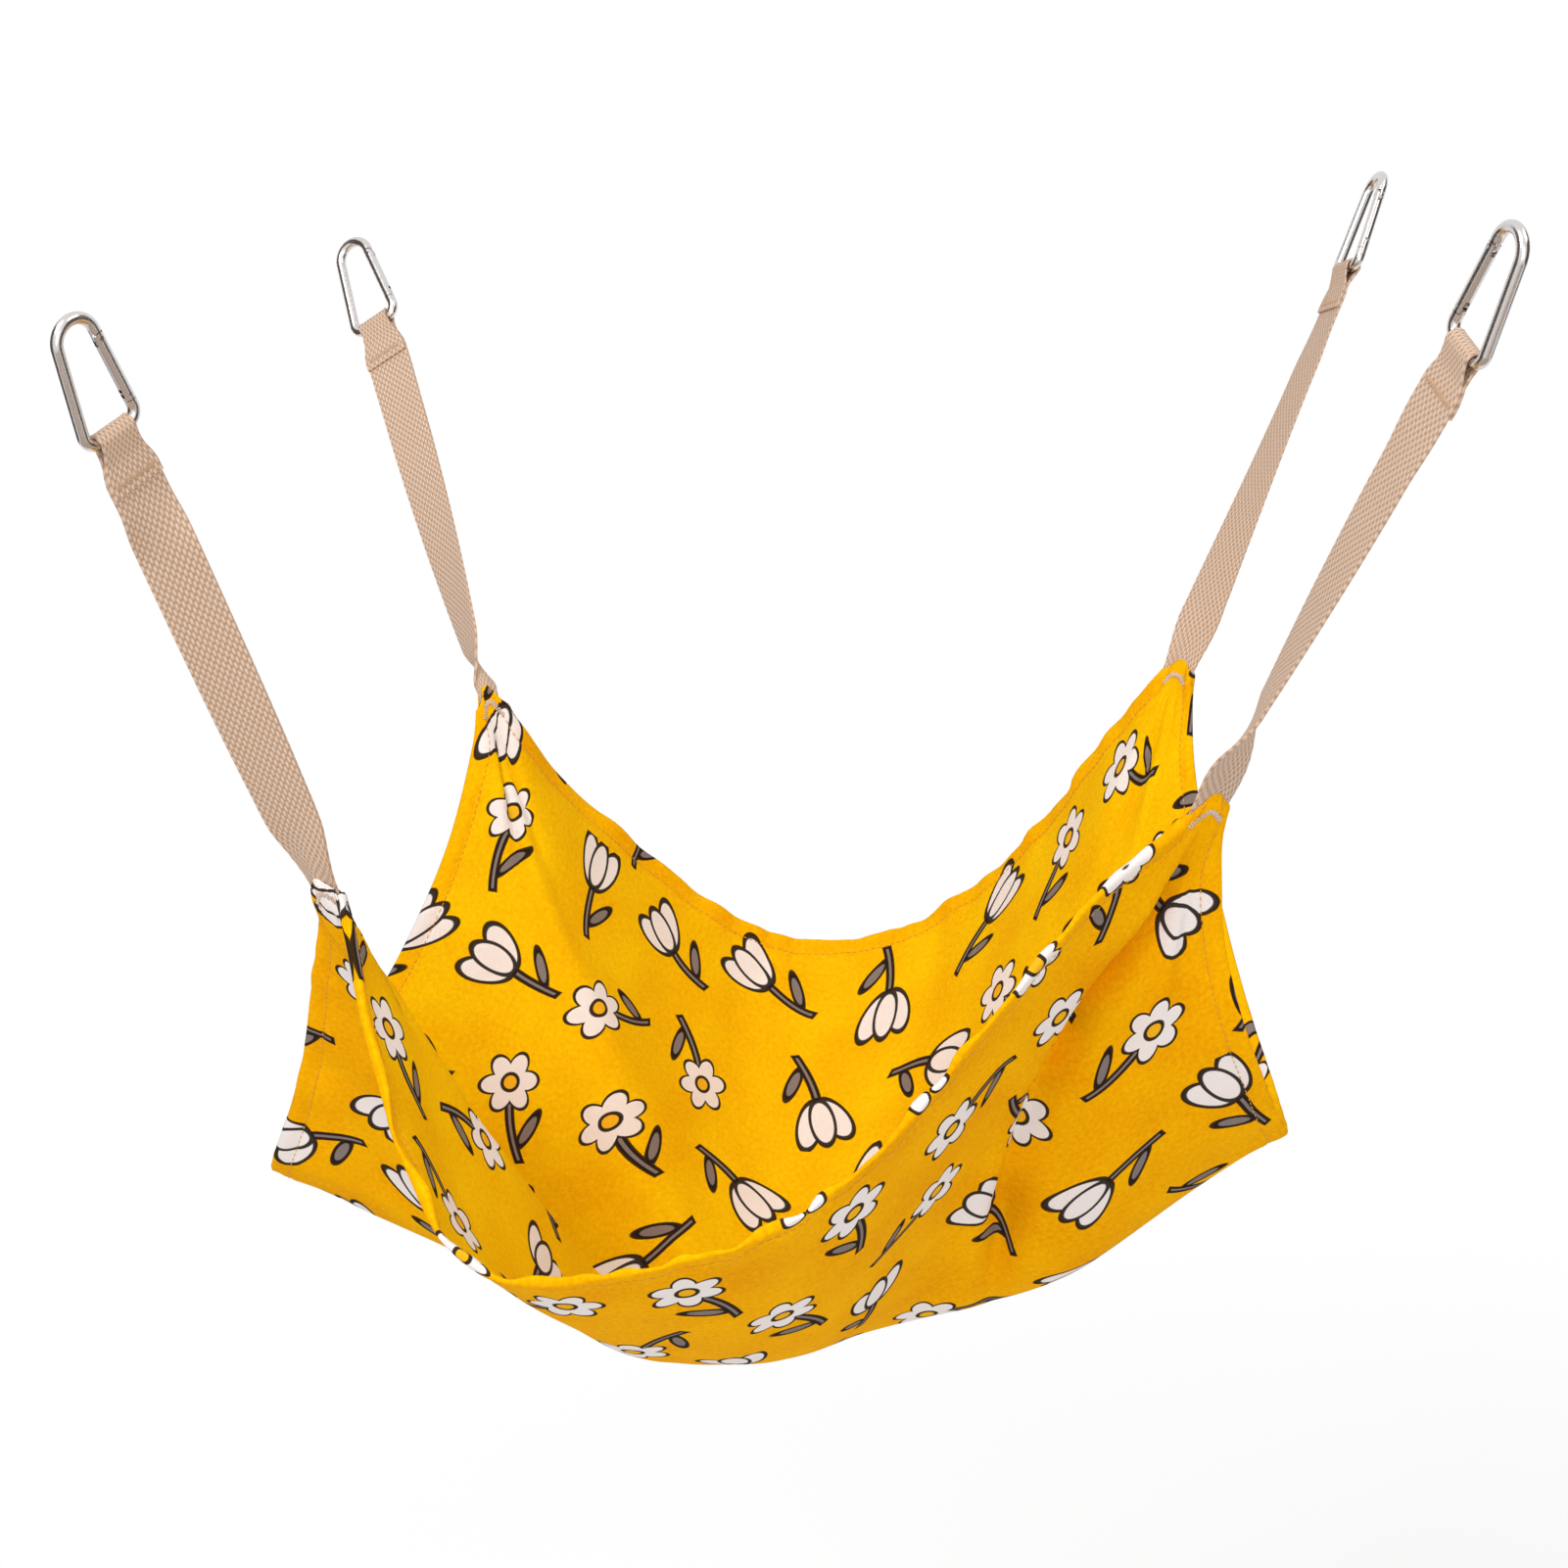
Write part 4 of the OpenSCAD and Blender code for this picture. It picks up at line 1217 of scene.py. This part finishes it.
    def build(self) -> bpy.types.Object:
        """Makes the band as a sheet with thickness and rounded selvedges.

        Returns:
            The piece.
        """
        rows = np.array(self.rows())
        bm = bmesh.new()
        n = len(rows) - 1
        bmesh.ops.create_grid(bm, x_segments=self.columns, y_segments=n, size=1)
        layer_uv = bm.loops.layers.uv.new("band")
        middles = rows[:, self.columns // 2]
        length = np.r_[0, np.cumsum(np.linalg.norm(np.diff(middles, axis=0), axis=1))]
        bm.verts.index_update()
        flat = {}
        for vert in bm.verts:
            share, k = vert.co.x, round((vert.co.y + 1) / 2 * n)
            vert.co = rows[k, round((share + 1) / 2 * self.columns)]
            flat[vert.index] = (0.5 + share * self.width / 2, 0.1 + length[k])
        for face in bm.faces:
            for loop in face.loops:
                loop[layer_uv].uv = flat[loop.vert.index]
        piece = new_piece(f"webbing_{self.corner.word}", bm)
        thick = piece.modifiers.new("band thickness", "SOLIDIFY")
        thick.thickness, thick.offset = self.thickness, 0
        selvedge = piece.modifiers.new("selvedge", "BEVEL")
        selvedge.width, selvedge.segments, selvedge.limit_method = self.selvedge_r, 2, "ANGLE"
        selvedge.angle_limit = math.radians(60)
        WEBBING.dress(piece)
        word = self.corner.word
        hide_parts(f"strap_{word}", f"sewn_end_{word}")
        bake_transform(piece)
        return piece

    def fold_tack(self) -> bpy.types.Object:
        """Sews the band's folded end down with a bar tack.

        Returns:
            The piece.
        """
        bm = bmesh.new()
        middle = self.loop_neck + self.fold_back * 2 / 3
        for face in (-1, 1):
            at = self.in_loop(middle, face * (self.half + self.thickness / 2))
            for k, x in enumerate(np.linspace(-self.tack_half, self.tack_half, self.tack_count)):
                slant = self.tack_slant if k % 2 else -self.tack_slant
                across = unit(self.down + slant * self.bar)
                FOLD_STITCH.lay(bm, at + self.bar * x, across, self.over * face)
        piece = new_piece(f"fold_tack_thread_{self.corner.word}", bm)
        WEBBING_THREAD.dress(piece)
        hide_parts(f"fold_tack_{self.corner.word}")
        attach(piece, f"strap_{self.corner.word}")
        return piece


@dataclass
class Hardware:
    """The carabiners, which keep the frame's own shapes."""

    bright: tuple = ("carabiner", "gate")
    plain: tuple = ("gate_rivet", "latch_pin", "gate_spring", "spring_plunger")

    def dress(self) -> None:
        """Puts the metals on the frame's nodes."""
        for corner in Corner:
            for finish, kinds in ((ALUMINIUM, self.bright), (STEEL, self.plain)):
                for kind in kinds:
                    finish.dress(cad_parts[f"{kind}_{corner.word}"])


@dataclass(frozen=True)
class Studio:
    """White studio: soft light, a pale floor and the camera."""

    eye: tuple = (0.1054, -1.2295, 0.0743)
    yaw: float = -6.42
    pitch: float = 14.45
    roll: float = -4.07
    lens: float = 63.39
    fill: float = 0.60
    # The floor, and where on it the shadow falls before it fades to white.
    floor_z: float = -1.25
    floor_glow: float = 0.3
    shadow_at: tuple = (0.3, 0.5)
    shadow_reach: tuple = (0.5, 1.3)
    # Lamps: name, place, aim, side of the square face and watts.
    lamps: tuple = (
        ("key", (-0.7, -1.4, 1.35), (-0.03, 0.0, -0.35), 1.1, 27),
        ("front", (0.35, -1.9, 0.0), (0.0, 0.0, -0.35), 1.0, 8),
        ("side", (1.3, -0.5, 1.1), (-0.1, 0.0, -0.35), 1.0, 7))
    # Cards: name, middle, the axis that they face, their two sides and colour.
    cards: tuple = (
        ("card_left", (-1.9, -0.3, 0.1), "X", (3.0, 2.2), "#5A4E47"),
        ("card_right", (1.9, -0.3, 0.1), "X", (3.0, 2.2), "#5A4E47"),
        ("card_low", (0, -1.0, -1.2), "Z", (2.6, 1.6), "#BBAA9C"))

    def camera(self) -> None:
        """Stands the camera at the photograph's place."""
        yaw, pitch, roll = (math.radians(a) for a in (self.yaw, self.pitch, self.roll))
        level = Vector((math.cos(yaw), -math.sin(yaw), 0))
        heading = Vector((math.sin(yaw), math.cos(yaw), 0))
        ahead = heading * math.cos(pitch) - Vector((0, 0, math.sin(pitch)))
        above = level.cross(ahead)
        right = level * math.cos(roll) + above * math.sin(roll)
        up = above * math.cos(roll) - level * math.sin(roll)
        data = bpy.data.cameras.new("camera")
        data.lens, data.sensor_width = self.lens, 36.0
        camera = bpy.data.objects.new("camera", data)
        turn = Matrix((right, up, -ahead)).transposed().to_4x4()
        camera.matrix_world = Matrix.Translation(self.eye) @ turn
        bpy.context.scene.collection.objects.link(camera)
        bpy.context.scene.camera = camera

    def seen_white(self, tree: bpy.types.NodeTree) -> bpy.types.NodeSocket:
        """A switch that is 1 for rays that should meet plain white.

        Args:
            tree: The node tree.

        Returns:
            The switch's socket.
        """
        path = add_node(tree, "ShaderNodeLightPath").outputs
        known = {"camera": path["Is Camera Ray"], "glossy": path["Is Glossy Ray"],
                 "clear": path["Is Transmission Ray"]}
        return solve(tree, known, [
            ("opaque", "MAXIMUM", "camera", "glossy"),
            ("any", "MAXIMUM", "opaque", "clear"),
        ])["any"]

    def world(self) -> None:
        """Fills the studio with even light and a white background."""
        world = bpy.data.worlds.new("studio")
        bpy.context.scene.world = world
        world.use_nodes = True
        tree = world.node_tree
        tree.nodes.clear()
        even, white = (add_node(tree, "ShaderNodeBackground", None, {
            "Color": (1, 1, 1, 1), "Strength": strength}) for strength in (self.fill, 1.0))
        both = add_node(tree, "ShaderNodeMixShader", None, {
            0: self.seen_white(tree), 1: even.outputs[0], 2: white.outputs[0]})
        add_node(tree, "ShaderNodeOutputWorld", None, {0: both.outputs[0]})

    def floor(self) -> None:
        """Lays a pale floor well below the hammock."""
        bm = bmesh.new()
        bmesh.ops.create_grid(bm, x_segments=1, y_segments=1, size=5)
        bmesh.ops.translate(bm, verts=bm.verts, vec=(0, 0, self.floor_z))
        floor = new_piece("studio_floor", bm)
        material = bpy.data.materials.new("Matt white paint")
        material.use_nodes = True
        tree = material.node_tree
        tree.nodes.clear()
        matt = add_node(tree, "ShaderNodeBsdfDiffuse", None, {"Color": (0.85, 0.85, 0.85, 1)})
        glow, far = (add_node(tree, "ShaderNodeEmission", None, {
            "Color": (1, 1, 1, 1), "Strength": strength}) for strength in (self.floor_glow, 1.0))
        near = add_node(tree, "ShaderNodeAddShader", None, {0: matt.outputs[0], 1: glow.outputs[0]})
        # The shadow stays on the floor below, which fades to plain white round it.
        place = add_node(tree, "ShaderNodeTexCoord").outputs["Object"]
        away = add_node(tree, "ShaderNodeVectorMath", {"operation": "DISTANCE"}, {
            0: place, 1: (*self.shadow_at, self.floor_z)}).outputs["Value"]
        fade = add_node(tree, "ShaderNodeMapRange", {"interpolation_type": "SMOOTHSTEP"}, {
            0: away, 1: self.shadow_reach[0], 2: self.shadow_reach[1]}).outputs[0]
        seen = add_node(tree, "ShaderNodeMixShader", None, {
            0: fade, 1: near.outputs[0], 2: far.outputs[0]})
        both = add_node(tree, "ShaderNodeMixShader", None, {
            0: self.seen_white(tree), 1: matt.outputs[0], 2: seen.outputs[0]})
        add_node(tree, "ShaderNodeOutputMaterial", None, {0: both.outputs[0]})
        floor.data.materials.append(material)

    def card(self, name: str, place: tuple, facing: str, size: tuple, colour: str) -> None:
        """Sets up a flocked card, which only the polished metal mirrors.

        Args:
            name: Its name.
            place: Its middle.
            facing: The axis that it faces.
            size: Its two sides.
            colour: The colour of its flock.
        """
        bm = bmesh.new()
        bmesh.ops.create_grid(bm, x_segments=1, y_segments=1, size=0.5)
        bmesh.ops.scale(bm, verts=bm.verts, vec=(*size, 1))
        turn = Vector((0, 0, 1)).rotation_difference(Vector([axis == facing for axis in "XYZ"]))
        bmesh.ops.rotate(bm, verts=bm.verts, matrix=turn.to_matrix())
        bmesh.ops.translate(bm, verts=bm.verts, vec=place)
        card = new_piece(name, bm)
        card.visible_camera = card.visible_diffuse = False
        card.visible_shadow = card.visible_transmission = False
        material = bpy.data.materials.new(f"Flock of {name}")
        material.use_nodes = True
        shader = material.node_tree.nodes["Principled BSDF"]
        shader.inputs["Base Color"].default_value = linear(colour)
        shader.inputs["Roughness"].default_value = 1.0
        card.data.materials.append(material)

    def lamp(self, name: str, place: tuple, aim: tuple, size: float, power: float) -> None:
        """Hangs one soft lamp.

        Args:
            name: Its name.
            place: Where it is.
            aim: What it points at.
            size: The side of its square face.
            power: Its power in watts.
        """
        data = bpy.data.lights.new(name, "AREA")
        data.size, data.energy = size, power
        lamp = bpy.data.objects.new(name, data)
        turn = (Vector(aim) - Vector(place)).to_track_quat("-Z", "Y")
        lamp.matrix_world = Matrix.Translation(place) @ turn.to_matrix().to_4x4()
        bpy.context.scene.collection.objects.link(lamp)

    def build(self) -> None:
        """Sets up the camera, the light and the floor."""
        bpy.context.scene.view_settings.view_transform = "Standard"
        self.camera()
        self.world()
        self.floor()
        for row in self.lamps:
            self.lamp(*row)
        for row in self.cards:
            self.card(*row)


def main() -> None:
    """Builds the sub-assemblies in order."""
    logging.basicConfig(level=logging.INFO, format="%(name)s: %(message)s")
    studio, hanging = Studio(), Hanging()
    studio.build()
    sling = Sling(hanging)
    for corner in Corner:
        strap = Strap(corner, hanging, sling)
        pieces = strap.build(), strap.fold_tack()
        sling.corner_tack(corner)
    for layer in Layer:
        cloth, seam = sling.build(layer), sling.stitch(layer)
        log.info("%s with %s", cloth.name, seam.name)
    Hardware().dress()
    log.info("carabiners dressed")


if __name__ == "__main__":
    main()
